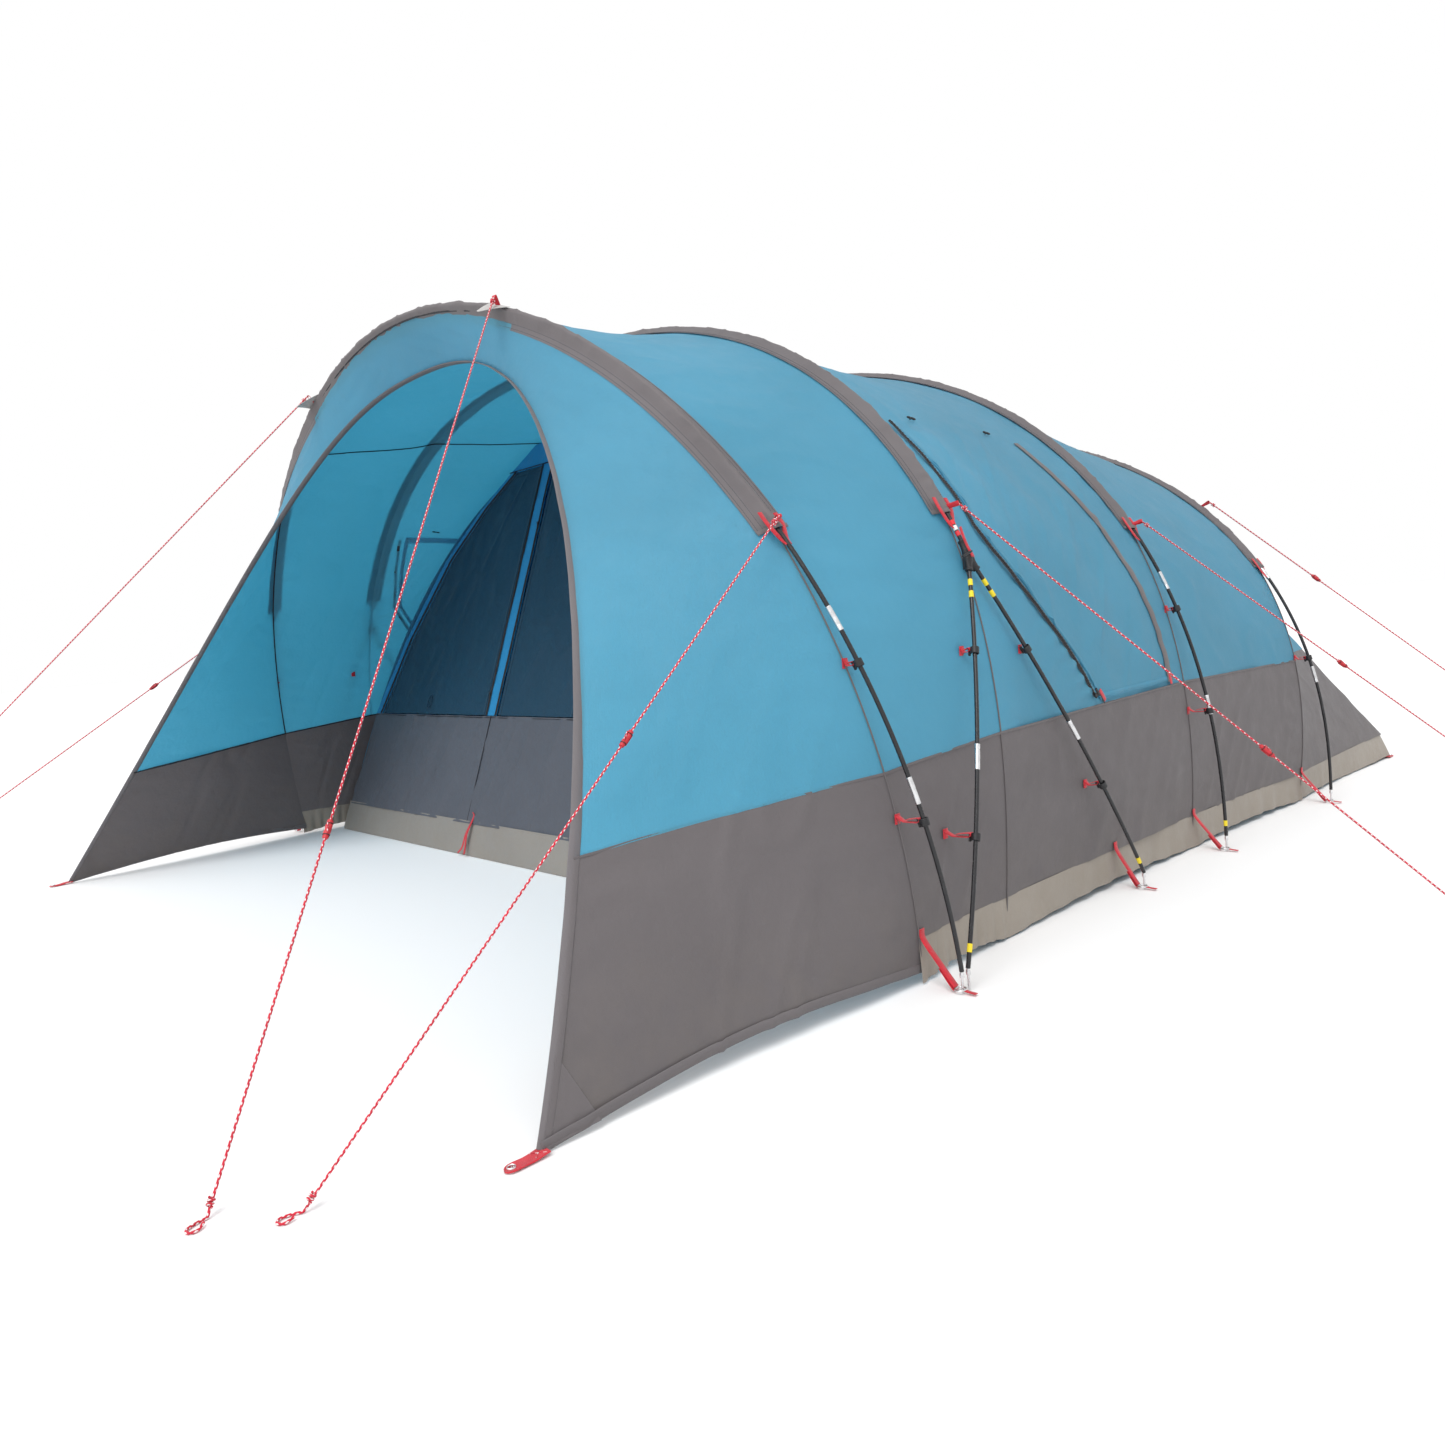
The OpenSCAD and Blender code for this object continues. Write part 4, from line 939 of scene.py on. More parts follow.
def make_flap(side):
    """Window flap: hems, a grey tape down its rear edge and a little fullness of its own."""
    name = "right" if side > 0 else "left"
    ws = np.linspace(FLAP_W[0], FLAP_W[1] - 0.002, 92)
    z = roof_pt(1, 2, ws * 0 + 0.5, ws)[..., 2]
    f = np.linspace(0, 1, 61)[:, None]
    us = mix(flap_u0(z) + 0.006, flap_u1(z) - 0.006, f)
    grid, near = bay_grid(1, 2, us, np.broadcast_to(ws, us.shape))
    edge = np.minimum(np.minimum(f, 1 - f) * 0.8, (FLAP_W[1] - ws)[None] * 4)
    loose = 1 - np.exp(-((edge / 0.12) ** 2))
    drape = np.sin(2 * PI * (grid[..., 1] * 3.4 + 0.35 * grid[..., 2]) + 2 * noise(grid, 0.35, 3)) * 0.004
    creases = crease(grid @ np.array([[1, 0, 0], [0, 0.86, 0.5], [0, -0.5, 0.86]]), (0.4, 0.06, 0.4),
                     8) * 0.004
    p = settle(grid, near, seed=17)
    p = p + out_dir(p) * (0.004 + (drape + creases) * loose)[..., None]
    p[..., 0] *= side
    cloth = Piece(f"window_flap_{name}_cloth").shell(p)
    cloth = cloth.make(fly_blue, body=f"window_{name}", slot="blue_fly_cloth",
                       replaces=[f"window_flap_{name}"])
    hem = Piece(f"window_flap_{name}_hem")
    out = out_dir(p)
    rear = p[-3] + out[-3] * 0.0035
    hem.sweep(rear, strap_section(0.032, 0.0014), across=unit(p[-3] - p[-5]))
    foot = p[1:-1, 1] + out[1:-1, 1] * 0.001
    hem.sweep(foot, strap_section(0.014, 0.0012), across=unit(p[1:-1, 2] - p[1:-1, 1]), slot=1)
    front = p[1] + out[1] * 0.001
    hem.sweep(front, strap_section(0.012, 0.0012), across=unit(p[2] - p[1]), slot=1)
    for row in (2, -3):
        at, down = p[row, 1], unit(p[row, 0] - p[row, 4])
        tip = at + down * 0.02 + out[row, 1] * 0.004
        hem.sweep([at + out[row, 1] * 0.003 - down * 0.02, at + out[row, 1] * 0.004, tip],
                  strap_section(0.016, 0.0015),
                  across=(0, 1, 0), slot=2)
    hem = hem.make(trim_grey, fly_blue, webbing, body=f"window_{name}", slot="grey_trim")
    declare(cloth)


def flap_toggles():
    """Two toggles in elastic loops above each window, to hold the flap when it is rolled up."""
    p = Piece("window_toggles")
    for side in (1, -1):
        for u in (0.22, 0.62):
            at = roof_pt(1, 2, np.array(u), np.array(FLAP_W[1] + 0.006))
            out = out_dir(at)
            along = np.array([0, 1.0, -0.12])
            a, b = (at + out * 0.008 - unit(along) * 0.02), (at + out * 0.008 + unit(along) * 0.02)
            path = np.linspace(a, b, 9)
            fat = np.array([0.0022, 0.0035, 0.0038, 0.003, 0.0026, 0.003, 0.0038, 0.0035, 0.0022])
            path[:, 0] *= side
            p.sweep(path, np.stack([circle(r, 12) for r in fat]))
            tie = smooth_path([at + out * 0.001, at + out * 0.007 + unit(along) * 0.005, at + out * 0.012,
                               at + out * 0.007 - unit(along) * 0.005, at + out * 0.001], 6)
            tie[:, 0] *= side
            p.sweep(tie, circle(0.0011, 8))
    return p.make(plastic_black, slot="black_plastic")


def make_zips():
    """Zips down the front edge of each window: a woven tape, a coil of teeth, and a top stop."""
    p = Piece("window_zip_tapes")
    ws = np.linspace(0.006, 0.2, 130)
    z = roof_pt(1, 2, ws * 0 + 0.5, ws)[..., 2]
    for side in (1, -1):
        wave = 0.006 * noise(np.stack([z * 0, z * 0, z], -1), 0.12, 12)
        path = roof_pt(1, 2, flap_u0(z) - 0.014 + wave, ws)
        out = out_dir(path)
        path = path + out * (0.0065 + 0.001 * np.sin(z * 60))[:, None]
        path[:, 0] *= side
        out[:, 0] *= side
        across = np.cross(unit(np.gradient(path, axis=0)), out)
        p.sweep(path, strap_section(0.015, 0.0016), across=across)
        teeth = resample(path + out * 0.0022, 0.006)
        d = unit(np.gradient(teeth, axis=0))
        o = np.stack([np.interp(run(teeth), run(path), out[:, k]) for k in range(3)], -1)
        for k in range(len(teeth)):
            s = unit(np.cross(d[k], o[k]))
            box_mesh(p, teeth[k] + s * (0.0012 if k % 2 else -0.0012), (0.0055, 0.0034, 0.0024),
                     (s, d[k], o[k]), slot=1)
        stop = path[0] + out[0] * 0.003
        box_mesh(p, stop, (0.011, 0.012, 0.005), (unit(across[0]), d[0], o[0]), slot=1)
    return p.make(zip_black, plastic_black, slot="black_plastic", replaces=["window_zips"])


def make_sliders():
    for name in ("right", "left"):
        side = 1 if name == "right" else -1
        low = roof_pt(1, 2, flap_u0(0.58) - 0.018, np.array(0.006))
        high = roof_pt(1, 2, flap_u0(0.752) - 0.018, np.array(0.04))
        d = unit(high - low)
        out = out_dir(low)
        base = low + out * 0.022
        across = np.cross(d, out)
        p = Piece(f"zip_pull_{name}")
        spine = np.linspace(base + d * 0.002, base + d * 0.028, 9)
        wide = np.array([0.0035, 0.0052, 0.006, 0.006, 0.0052, 0.0046, 0.005, 0.0055, 0.004])
        flip = np.array([side, 1, 1])
        p.sweep(spine * flip, np.stack([oval(w, 0.0032, 12) for w in wide]), across=across * flip)
        pull = np.linspace(base + d * 0.003 + out * 0.003, base - d * 0.03 + out * 0.001, 7)
        flat = np.array([0.0026, 0.003, 0.0034, 0.0036, 0.0036, 0.0034, 0.0024])
        p.sweep(pull * flip, np.stack([oval(w, 0.0011, 10) for w in flat]), across=across * flip)
        p.make(plastic_black, body=f"zip_{name}", slot="black_plastic", replaces=[f"zip_slider_{name}"])


make_roof_bay("fly_roof_front_cloth", 0, 1, 36)
make_middle_bay()
make_roof_bay("fly_roof_rear_cloth", 2, 3, 54)
make_hood()
make_back()
make_wall_back()
for hand in (1, -1):
    make_wing(hand)
    make_wall(hand)
    make_flap(hand)
make_skirts()
flap_toggles()
make_zips()
make_sliders()

# ---------- sleeves, piping and edge tapes ----------


def beside(i, hand, t, d):
    """Points on the roof panel in front of an arch (hand -1) or behind it (hand 1), d metres away from the
    arch."""
    start = angle_at(i, SEAM_Z[i])
    w = (t - start) / (PI - 2 * start)
    if i == 0 and hand < 0:
        o0 = opening_angle(OPENING_SEAM_Z)
        a, b = cloth_pt(0, t), opening_pt(mix(o0, PI - o0, w))
        wide = np.linalg.norm(b - a, axis=-1)
        f = d / wide
        return mix(a, b, f[..., None]) - out_dir(a) * (4 * f * (1 - f) * wide * 0.022)[..., None]
    if i == 3 and hand > 0:
        a, b = cloth_pt(3, t), back_edge(back_angle(t, start))
        f = d / np.linalg.norm(b - a, axis=-1)
        return mix(a, b, f[..., None]) - out_dir(a) * (np.sin(PI * f) * 0.035)[..., None]
    j = i if hand > 0 else i - 1
    wide = np.linalg.norm(roof_pt(j, j + 1, w * 0 + 1, w) - roof_pt(j, j + 1, w * 0, w), axis=-1)
    f = d / wide
    return roof_pt(j, j + 1, f if hand > 0 else 1 - f, w)


def make_sleeve(i):
    """Pole sleeve: a band of cloth that rises over the pole, with stitched edges and small cross folds."""
    start = angle_at(i, SLEEVE_END[i])
    t = np.linspace(start, PI - start, 700)
    path = arch_pt(i, t)
    count = int(run(path)[-1] / 0.009)
    t = np.interp(np.linspace(0, run(path)[-1], count), run(path), t)
    p = arch_pt(i, t)
    d = unit(np.gradient(p, axis=0))
    out = unit(p - np.stack([p[:, 0] * 0, p[:, 1], p[:, 2] * 0 + 0.45 * ARCH_H[i]], -1))
    side = np.cross(d, out)
    s = run(p)
    ends, hugs = {}, {}
    for hand in (1, -1):
        # flange sewn flat on the panel, then the cloth leaves it and runs up to touch the pole's sleeve
        flange = [beside(i, hand, t, np.full(len(t), v)) + out * 0.0045 for v in (0.042, 0.036, 0.03, 0.024)]
        ends[hand] = flange
        g = flange[-1] - p
        a, b = (g * side).sum(1), (g * out).sum(1)
        heading = np.arctan2(b, a) % (2 * PI) if hand < 0 else np.arctan2(b, a)
        reach = np.hypot(a, b)
        hugs[hand] = heading + hand * np.arccos(SLEEVE_R / reach)
    columns = list(ends[1])
    turns = np.linspace(0, 1, 17)
    arc = [p + SLEEVE_R * (np.cos(v)[:, None] * side + np.sin(v)[:, None] * out)
           for v in (mix(hugs[1], hugs[-1], f) for f in turns)]
    columns += [mix(ends[1][-1], arc[0], f) for f in (0.25, 0.5, 0.75)] + arc
    columns += [mix(arc[-1], ends[-1][-1], f) for f in (0.25, 0.5, 0.75)] + list(ends[-1][::-1])
    grid = np.stack(columns, 1)
    x = np.linspace(0.048, -0.048, grid.shape[1])
    normal = unit(np.cross(np.gradient(grid, axis=0), np.gradient(grid, axis=1)))
    normal = normal * np.sign((normal * out[:, None]).sum())
    q = np.stack(np.broadcast_arrays(x[None] * 1.0, s[:, None], i * 3.0), -1)
    folds = noise(q, (0.05, 0.03, 1), 31) * 0.0022 + noise(q, (0.09, 0.1, 1), 32) * 0.002
    folds = folds + crease(q, (0.2, 0.045, 1), 34) * 0.0035
    loose = np.clip((0.04 - np.abs(x)) / 0.012, 0.12, 1)
    grid = grid + normal * (np.abs(folds) * loose[None])[..., None]
    name = f"sleeve_{i + 1}"
    obj = Piece(f"{name}_cloth").shell(grid, outward=normal)
    obj = obj.make(trim_grey, slot="grey_trim", replaces=[name])
    trim = Piece(f"{name}_stitching")
    for k in (1, 3, -4, -2):
        line = resample(grid[:, k] + out * 0.0006, 0.004)
        o = np.stack([np.interp(run(line), run(grid[:, k]), out[:, a]) for a in range(3)], -1)
        dash = line + o * (np.where(np.arange(len(line)) % 2, 0.0004, -0.0006))[:, None]
        trim.sweep(dash, circle(0.0005, 5))
    trim = trim.make(inner_grey, slot="grey_trim")
    for at in (0, -1):
        hem = Piece(f"{name}_cuff_{1 if at == 0 else 2}")
        ring = grid[at] + out[at] * 0.0006 + d[at] * (0.004 if at == 0 else -0.004)
        hem.sweep(ring, strap_section(0.012, 0.0022), across=d[at])
        hem.make(trim_grey, slot="grey_trim")
    declare(obj)


def seam_tape(name, path, width, material, proud=0.0012, thick=0.0012, across=None, slot="grey_trim",
              body="tent"):
    path = np.asarray(path, float)
    out = out_dir(path)
    if across is None:
        across = np.cross(unit(np.gradient(path, axis=0)), out)
    return Piece(name).sweep(path + out * proud, strap_section(width, thick), across=across).make(
        material, slot=slot, body=body)


def make_seams():
    """Folded seams where panels meet: thin raised ridges of the cloth's own colour, and dark piping
    inside."""
    p = Piece("fly_seam_ridges")
    inside = Piece("fly_inner_piping")
    r = 0.0022
    for i in range(4):
        t = angle_at(i, SEAM_Z[i])
        path = resample(cloth_pt(i, np.linspace(t, PI - t, 500)), 0.02)
        if i == 0:
            inside.sweep(path - out_dir(path) * 0.004, circle(0.0028, 6))
        for side in (1, -1):
            z = np.linspace(0.03, SLEEVE_END[i], 60)
            leg = wall_pt(i, z)
            leg = leg + out_dir(leg) * 0.0016
            leg[:, 0] *= side
            p.sweep(leg, oval(r, r * 0.8, 6), across=(0, 1, 0))
    for side in (1, -1):
        # line of the blue cloth's lower edge, from the porch corner to the last arch
        front = np.array([mix(wall_pt(0, SEAM_Z[0]),
                              np.array([opening_x(OPENING_SEAM_Z), opening_y(OPENING_SEAM_Z),
                          OPENING_SEAM_Z]), f) - out_dir(wall_pt(0, SEAM_Z[0])) * 4 * f * (1 - f) * 0.022
                          for f in np.linspace(1, 0, 40)])
        front = settle(front, np.minimum(np.linspace(1, 0, 40), np.linspace(0, 1, 40)), seed=61)
        walls, near = wall_surface(side_stations(40)[:, None], np.ones((1, 1)), SKIRT_TOP)
        walls = settle(walls, near, seed=23)[:, 0]
        for path in (front, walls):
            path = path * np.array([side, 1, 1])
            p.sweep(path + out_dir(path) * 0.0012, oval(0.004, 0.0014, 8), across=(0, 0, 1))
            inside.sweep(path - out_dir(path) * 0.003, circle(0.0026, 6))
    p.make(fly_grey, slot="grey_fly_cloth")
    roof = []
    for i, j, w0, w1, rows in ((0, 1, 0.3, 0.345, 20), (1, 2, 0.345, 0.4, 30)):
        u = np.linspace(0, 1, rows)
        q, near = bay_grid(i, j, u[:, None], mix(w0, w1, u)[:, None])
        roof.append(settle(q, near, seed=i * 17)[:, 0])
    for side in (1, -1):
        for path in roof:
            path = path * np.array([side, 1, 1])
            inside.sweep(path - out_dir(path) * 0.0035, circle(0.0024, 6))
    inside.make(piping, slot="grey_trim")


def make_binding():
    """Tape folded over the porch's edge, and the hem along the lower edge of each wing."""
    t = np.linspace(math.radians(3.2), PI - math.radians(3.2), 900)
    path = resample(opening_pt(t), 0.012)
    path = path + noise(path, 0.09, 71)[:, None] * np.array([0, 0.0012, 0.0012])
    wide = strap_section(0.024, 0.0032)
    lean = np.stack([path[:, 0] * 0.25, path[:, 1] * 0 + 1.0, path[:, 2] * 0 - 0.15], -1)
    binding = Piece("opening_binding_tape").sweep(path, wide, across=lean)
    binding = binding.make(trim_grey, slot="grey_trim", replaces=["opening_binding"])
    declare(binding)
    f = np.linspace(0.0, 1.0, 90)
    for side in (1, -1):
        a, b = wall_pt(0, 0.03), np.array([opening_x(0.006), opening_y(0.006), 0.006])
        hem = mix(a[None], b[None], f[:, None])
        hem[:, 2] += 0.028 * np.sin(PI * f) + 0.007
        hem = hem - out_dir(hem) * (4 * f * (1 - f) * 0.022 * 0.3)[:, None]
        hem = settle(hem, np.minimum(f, 1 - f), seed=61)
        hem[:, 0] *= side
        name = "right" if side > 0 else "left"
        seam_tape(f"wing_hem_{name}", hem, 0.022, trim_grey, 0.0008, 0.003, across=(0, 0, 1))


def make_corner_patches():
    """Doubled cloth at each porch corner."""
    for side in (1, -1):
        name = "right" if side > 0 else "left"
        a, c = np.meshgrid(np.linspace(0, 1, 15), np.linspace(0, 1, 15), indexing="ij")
        # a triangle: along the hem and up the opening's edge
        along_hem, up_edge = 0.12 * (1 - a) * c, 0.13 * (1 - a) * (1 - c)
        z = 0.008 + up_edge
        base = np.stack([opening_x(z), opening_y(z), z], -1)
        back = unit(wall_pt(0, 0.05) - np.array([opening_x(0.01), opening_y(0.01), 0.01]))
        grid = base + back * along_hem[..., None]
        grid[..., 2] += 0.028 * along_hem
        grid = grid + out_dir(grid) * 0.0035
        grid[..., 0] *= side
        Piece(f"corner_patch_{name}").shell(grid, thickness=0.0016).make(trim_grey, slot="grey_trim")


def bent_tape(piece, points, width, thick, across, steps=6, slot=0):
    path = smooth_path(points, steps)
    return piece.sweep(path, strap_section(width, thick), across=across, slot=slot)


def make_corner_tabs():
    """Red webbing at each corner of the tent: a folded loop with a pegging eyelet, sewn down with a cross."""
    tabs = Piece("corner_tab_webbing")
    rings = Piece("corner_tab_eyelets")
    for side in (1, -1):
        for x, y, d in ((OPENING_HALF_W * side, -2.37 + 0.084, -1), ((1.898 + 0.03) * side, 2.37 - 0.084, 1)):
            u, c = np.linspace(0, 1, 30), np.linspace(-1, 1, 15)
            eye = np.array([x, y + d * 0.07, 0.004])
            half = np.where(u < 0.8, 0.0132, 0.0132 * np.sqrt(np.clip(1 - ((u - 0.8) / 0.2) ** 2, 0.02, 1)))
            gx, gy = x + c[None] * half[:, None], y + d * (u[:, None] * 0.0835) + 0 * c[None]
            wave = 0.0008 * np.sin(u[:, None] * 9 + side) + 0.0006 * noise(np.stack([gx, gy, gx * 0], -1),
                                                                           0.02, 5)
            height = 0.0055 + wave + 0.004 * (1 - u[:, None]) ** 2
            grid = np.stack([gx, gy, height + 0 * gx], -1)
            away = np.hypot(grid[..., 0] - eye[0], grid[..., 1] - eye[1])
            mid = (away[1:, 1:] + away[:-1, :-1]) / 2
            tabs.shell(grid, keep=mid > 0.006, thickness=0.0028, outward=(0, 0, 1))
            for zc in (0.0062, 0.0028):
                ring = eye + np.append(circle(0.0072, 28), np.zeros((28, 1)), axis=1)
                ring[:, 2] = zc
                rings.sweep(ring, oval(0.0022, 0.0011, 8), across=(0, 0, 1), closed=True)
            for s in (-1, 1):
                line = np.array([[x - s * 0.01, y + d * 0.006, 0.0092],
                                 [x + s * 0.01, y + d * 0.028, 0.0082]])
                tabs.sweep(resample(line, 0.002), circle(0.0005, 5), slot=1)
    tabs.make(webbing, cord_red, slot="red_webbing", replaces=["corner_tabs"])
    rings.make(steel, slot="bright_steel")


# ---------- poles and their fittings ----------

HUB = np.array([arch_x(1, HUB_Z) - 0.002, ARCH_Y[1] + ARCH_LEAN[1] * HUB_Z, HUB_Z])
FRONT_FOOT = np.array([ARCH_HALF_W[0], ARCH_Y[0] + 0.018, FOOT_Z])
REAR_FOOT = np.array([ARCH_HALF_W[1] - 0.008, ARCH_Y[0] + 0.979, FOOT_Z])


def leg_path(foot):
    f = np.linspace(0, 1, 120)[:, None]
    return HUB + (foot - HUB) * f + np.array([1.0, 0, 0]) * LEG_BOW * 4 * f * (1 - f)


def leg_at(foot, z):
    f = (HUB_Z - z) / (HUB_Z - FOOT_Z)
    return HUB + (foot - HUB) * f + np.array([LEG_BOW * 4 * f * (1 - f), 0, 0])


def pole_at(kind, z):
    if kind >= 4:
        return leg_at(FRONT_FOOT if kind == 4 else REAR_FOOT, z)
    return np.array([arch_x(kind, z), ARCH_Y[kind] + ARCH_LEAN[kind] * z, z])


def feet():
    arches = [arch_pt(i, angle_at(i, FOOT_Z)) for i in (0, 2, 3)]
    return [arches[0], FRONT_FOOT, REAR_FOOT, arches[1], arches[2]]


def make_poles():
    arch_t = np.linspace(0, PI, 1200)
    top_t = np.linspace(angle_at(1, HUB_Z), PI - angle_at(1, HUB_Z), 900)
    ferrules = Piece("ferrule_tubes")
    jobs = [("arch_1_pole", arch_pt(0, arch_t), FOOT_Z, FOOT_Z),
            ("arch_3_pole", arch_pt(2, arch_t), FOOT_Z, FOOT_Z),
            ("arch_4_pole", arch_pt(3, arch_t), FOOT_Z, FOOT_Z),
            ("arch_2_pole", arch_pt(1, top_t), HUB_REACH, HUB_REACH)]
    legs = [path * np.array([side, 1, 1]) for path in (leg_path(FRONT_FOOT),
                                                       leg_path(REAR_FOOT)) for side in (1, -1)]
    for name, path, start, stop in jobs:
        length = run(path)[-1]
        line = resample(path, 0.01, start=start, end=length - stop)
        Piece(f"{name}_rod").sweep(line, circle(POLE_R, 20)).make(pole_black, slot="pole_black",
                                                                  replaces=[name])
        add_ferrules(ferrules, path, start, length - stop)
    rods = Piece("arch_2_leg_rods")
    for path in legs:
        length = run(path)[-1]
        rods.sweep(resample(path, 0.01, start=HUB_REACH, end=length), circle(POLE_R, 20))
        add_ferrules(ferrules, path, HUB_REACH, length)
    rods.make(pole_black, slot="pole_black", replaces=["arch_2_legs"])
    ferrules.make(steel, slot="bright_steel", replaces=["ferrules"], sharp=60)


def add_ferrules(tubes, path, s0, s1):
    """A steel tube at each joint of a pole: crimped near one end, with a rolled lip at both."""
    count = int(round((s1 - s0) / SECTION_LEN))
    step = (s1 - s0) / count
    for k in range(1, count):
        mid = s0 + k * step
        s = np.array([-32, -31.8, -31, -30, -28.5, -20, -18.6, -17.8, -17, -15.6, 0, 20, 29, 30.5, 31.4,
                      32]) / 1000
        r = np.array([5.7, 6.5, 7.0, 7.0, 6.7, 6.7, 6.3, 6.1, 6.3, 6.7, 6.75, 6.7, 6.7, 7.0, 6.8, 5.7]) / 1000
        line = np.stack([np.interp(mid + s, run(path), path[:, a]) for a in range(3)], -1)
        tubes.sweep(line, circle(1, 24)[None] * r[:, None, None])


def make_hubs():
    """Y-piece: three flared sockets that run into one body, smoothed into one moulding."""
    p = Piece("leg_hub_moulding")
    top = arch_pt(1, angle_at(1, HUB_Z) + math.radians(2))
    ends = [top, leg_path(FRONT_FOOT)[12], leg_path(REAR_FOOT)[12]]
    for side in (1, -1):
        flip = np.array([side, 1, 1])
        for end in ends:
            d = unit(end - HUB)
            s = np.array([0, 0.012, 0.022, 0.034, 0.038, 0.0395, 0.044, 0.0445])
            r = np.array([12.5, 11.5, 9.6, 9.0, 9.2, 10.4, 10.4, 9.6]) / 1000
            line = HUB + d * s[:, None]
            p.sweep(line * flip, circle(1, 28)[None] * r[:, None, None])
        box_mesh(p, (HUB + np.array([0.0, 0.0, -0.02])) * flip, (0.016, 0.03, 0.03))
        ball = np.linspace(-1, 1, 13)
        line = HUB + np.array([0, 0, 1.0]) * (ball * 0.0145)[:, None]
        p.sweep(line * flip, circle(1, 28)[None] * (0.0148 * np.sqrt(1.001 - ball**2))[:, None, None])
    obj = p.make(plastic_black, slot="black_plastic", replaces=["leg_hubs"])
    mod = obj.modifiers.new("join", "REMESH")
    mod.mode, mod.voxel_size, mod.use_smooth_shade = "VOXEL", 0.0012, True
    soft = obj.modifiers.new("soften", "SMOOTH")
    soft.iterations, soft.factor = 4, 0.5
    frozen(obj)


def make_clips():
    """C-clips: an open hook that snaps over the pole, a cross bar, and the red webbing that holds it to
    the wall."""
    hooks, tapes = Piece("pole_clip_hooks"), Piece("clip_tape_webbing")
    for side in (1, -1):
        flip = np.array([side, 1, 1])
        for kind, z in CLIPS:
            centre = pole_at(kind, z)
            d = unit(pole_at(kind, z + 0.01) - pole_at(kind, z - 0.01))
            x = unit(np.array([1.0, 0, 0]) - d * d[0])
            y = np.cross(d, x)
            angle = np.radians(np.linspace(180 - 28, 180 - 28 - 304, 40))
            arc = centre + (np.cos(angle)[:, None] * x + np.sin(angle)[:, None] * y) * 0.0096
            swell = np.where(np.abs(np.linspace(-1, 1, 40)) > 0.9, 1.35, 1.0)
            sec = strap_section(0.0185, 0.0028)[None] * swell[:, None, None] ** np.array([0, 1])
            hooks.sweep(arc * flip, sec, across=d * flip)
            bar = centre - x * 0.0152
            hooks.sweep([(bar - d * 0.0105) * flip, (bar - d * 0.009) * flip, (bar + d * 0.009) * flip,
                         (bar + d * 0.0105) * flip], np.stack([oval(a, b, 14) for a, b in
                        ((0.0034, 0.0022), (0.0048, 0.0032), (0.0048, 0.0032), (0.0034, 0.0022))]),
                        across=y * flip)
            wall = wall_at(centre[1], z)
            a, b = bar - x * 0.002, np.array([wall + 0.003, centre[1], z])
            if a[0] > b[0] + 0.004:
                mid = mix(a, b, 0.5)
                sag = np.array([0, 0, -0.002])
                loop = [b + np.array([0, 0, 0.012]), b + np.array([0.0015, 0, 0.006]), mix(b, a, 0.3) + sag,
                        mid + sag, a + np.array([0, 0, 0.001])]
                bent_tape(tapes, np.array(loop) * flip, 0.0165, 0.0018, np.array([0, 1.0, 0]) * flip)
                fold = [a + np.array([0.002, 0, 0.002]), a + np.array([0.006, 0, 0.006]),
                        a + np.array([0.003, 0, 0.011]),
                        mid + np.array([0, 0, 0.004])]
                bent_tape(tapes, np.array(fold) * flip, 0.0165, 0.0016, np.array([0, 1.0, 0]) * flip)
            patch = [np.array([wall + 0.002, centre[1], z + dz]) for dz in (-0.012, 0, 0.012)]
            tapes.sweep(np.array(patch) * flip, strap_section(0.02, 0.0014), across=(0, 1, 0))
    hooks = hooks.make(plastic_black, slot="black_plastic", replaces=["pole_clips"], sharp=40)
    bevelled(hooks, 0.0005)
    tapes.make(webbing, slot="red_webbing", replaces=["clip_tapes"])


def wall_at(y, z):
    """X of the right side's cloth at a place along the tent and a height, folds included."""
    ys = [ARCH_Y[i] + ARCH_LEAN[i] * z for i in range(4)]
    x = float(np.interp(y, ys, [wall_x_at(i, z) for i in range(4)]))
    near = min(abs(y - v) for v in ys)
    bay = int(np.clip(np.searchsorted(ys, y) - 1, 0, 2))
    u = np.clip((y - ys[bay]) / (ys[bay + 1] - ys[bay]), 0, 1)
    low = z < mix(SEAM_Z[bay], SEAM_Z[bay + 1], u)
    x -= (0.0045 if low else 0.15 * ROOF_SAG) * 4 * u * (1 - u)
    return float(settle(np.array([[x, y, z]]), np.array([near]), seed=23 if low else bay * 17)[0, 0]) + 0.001


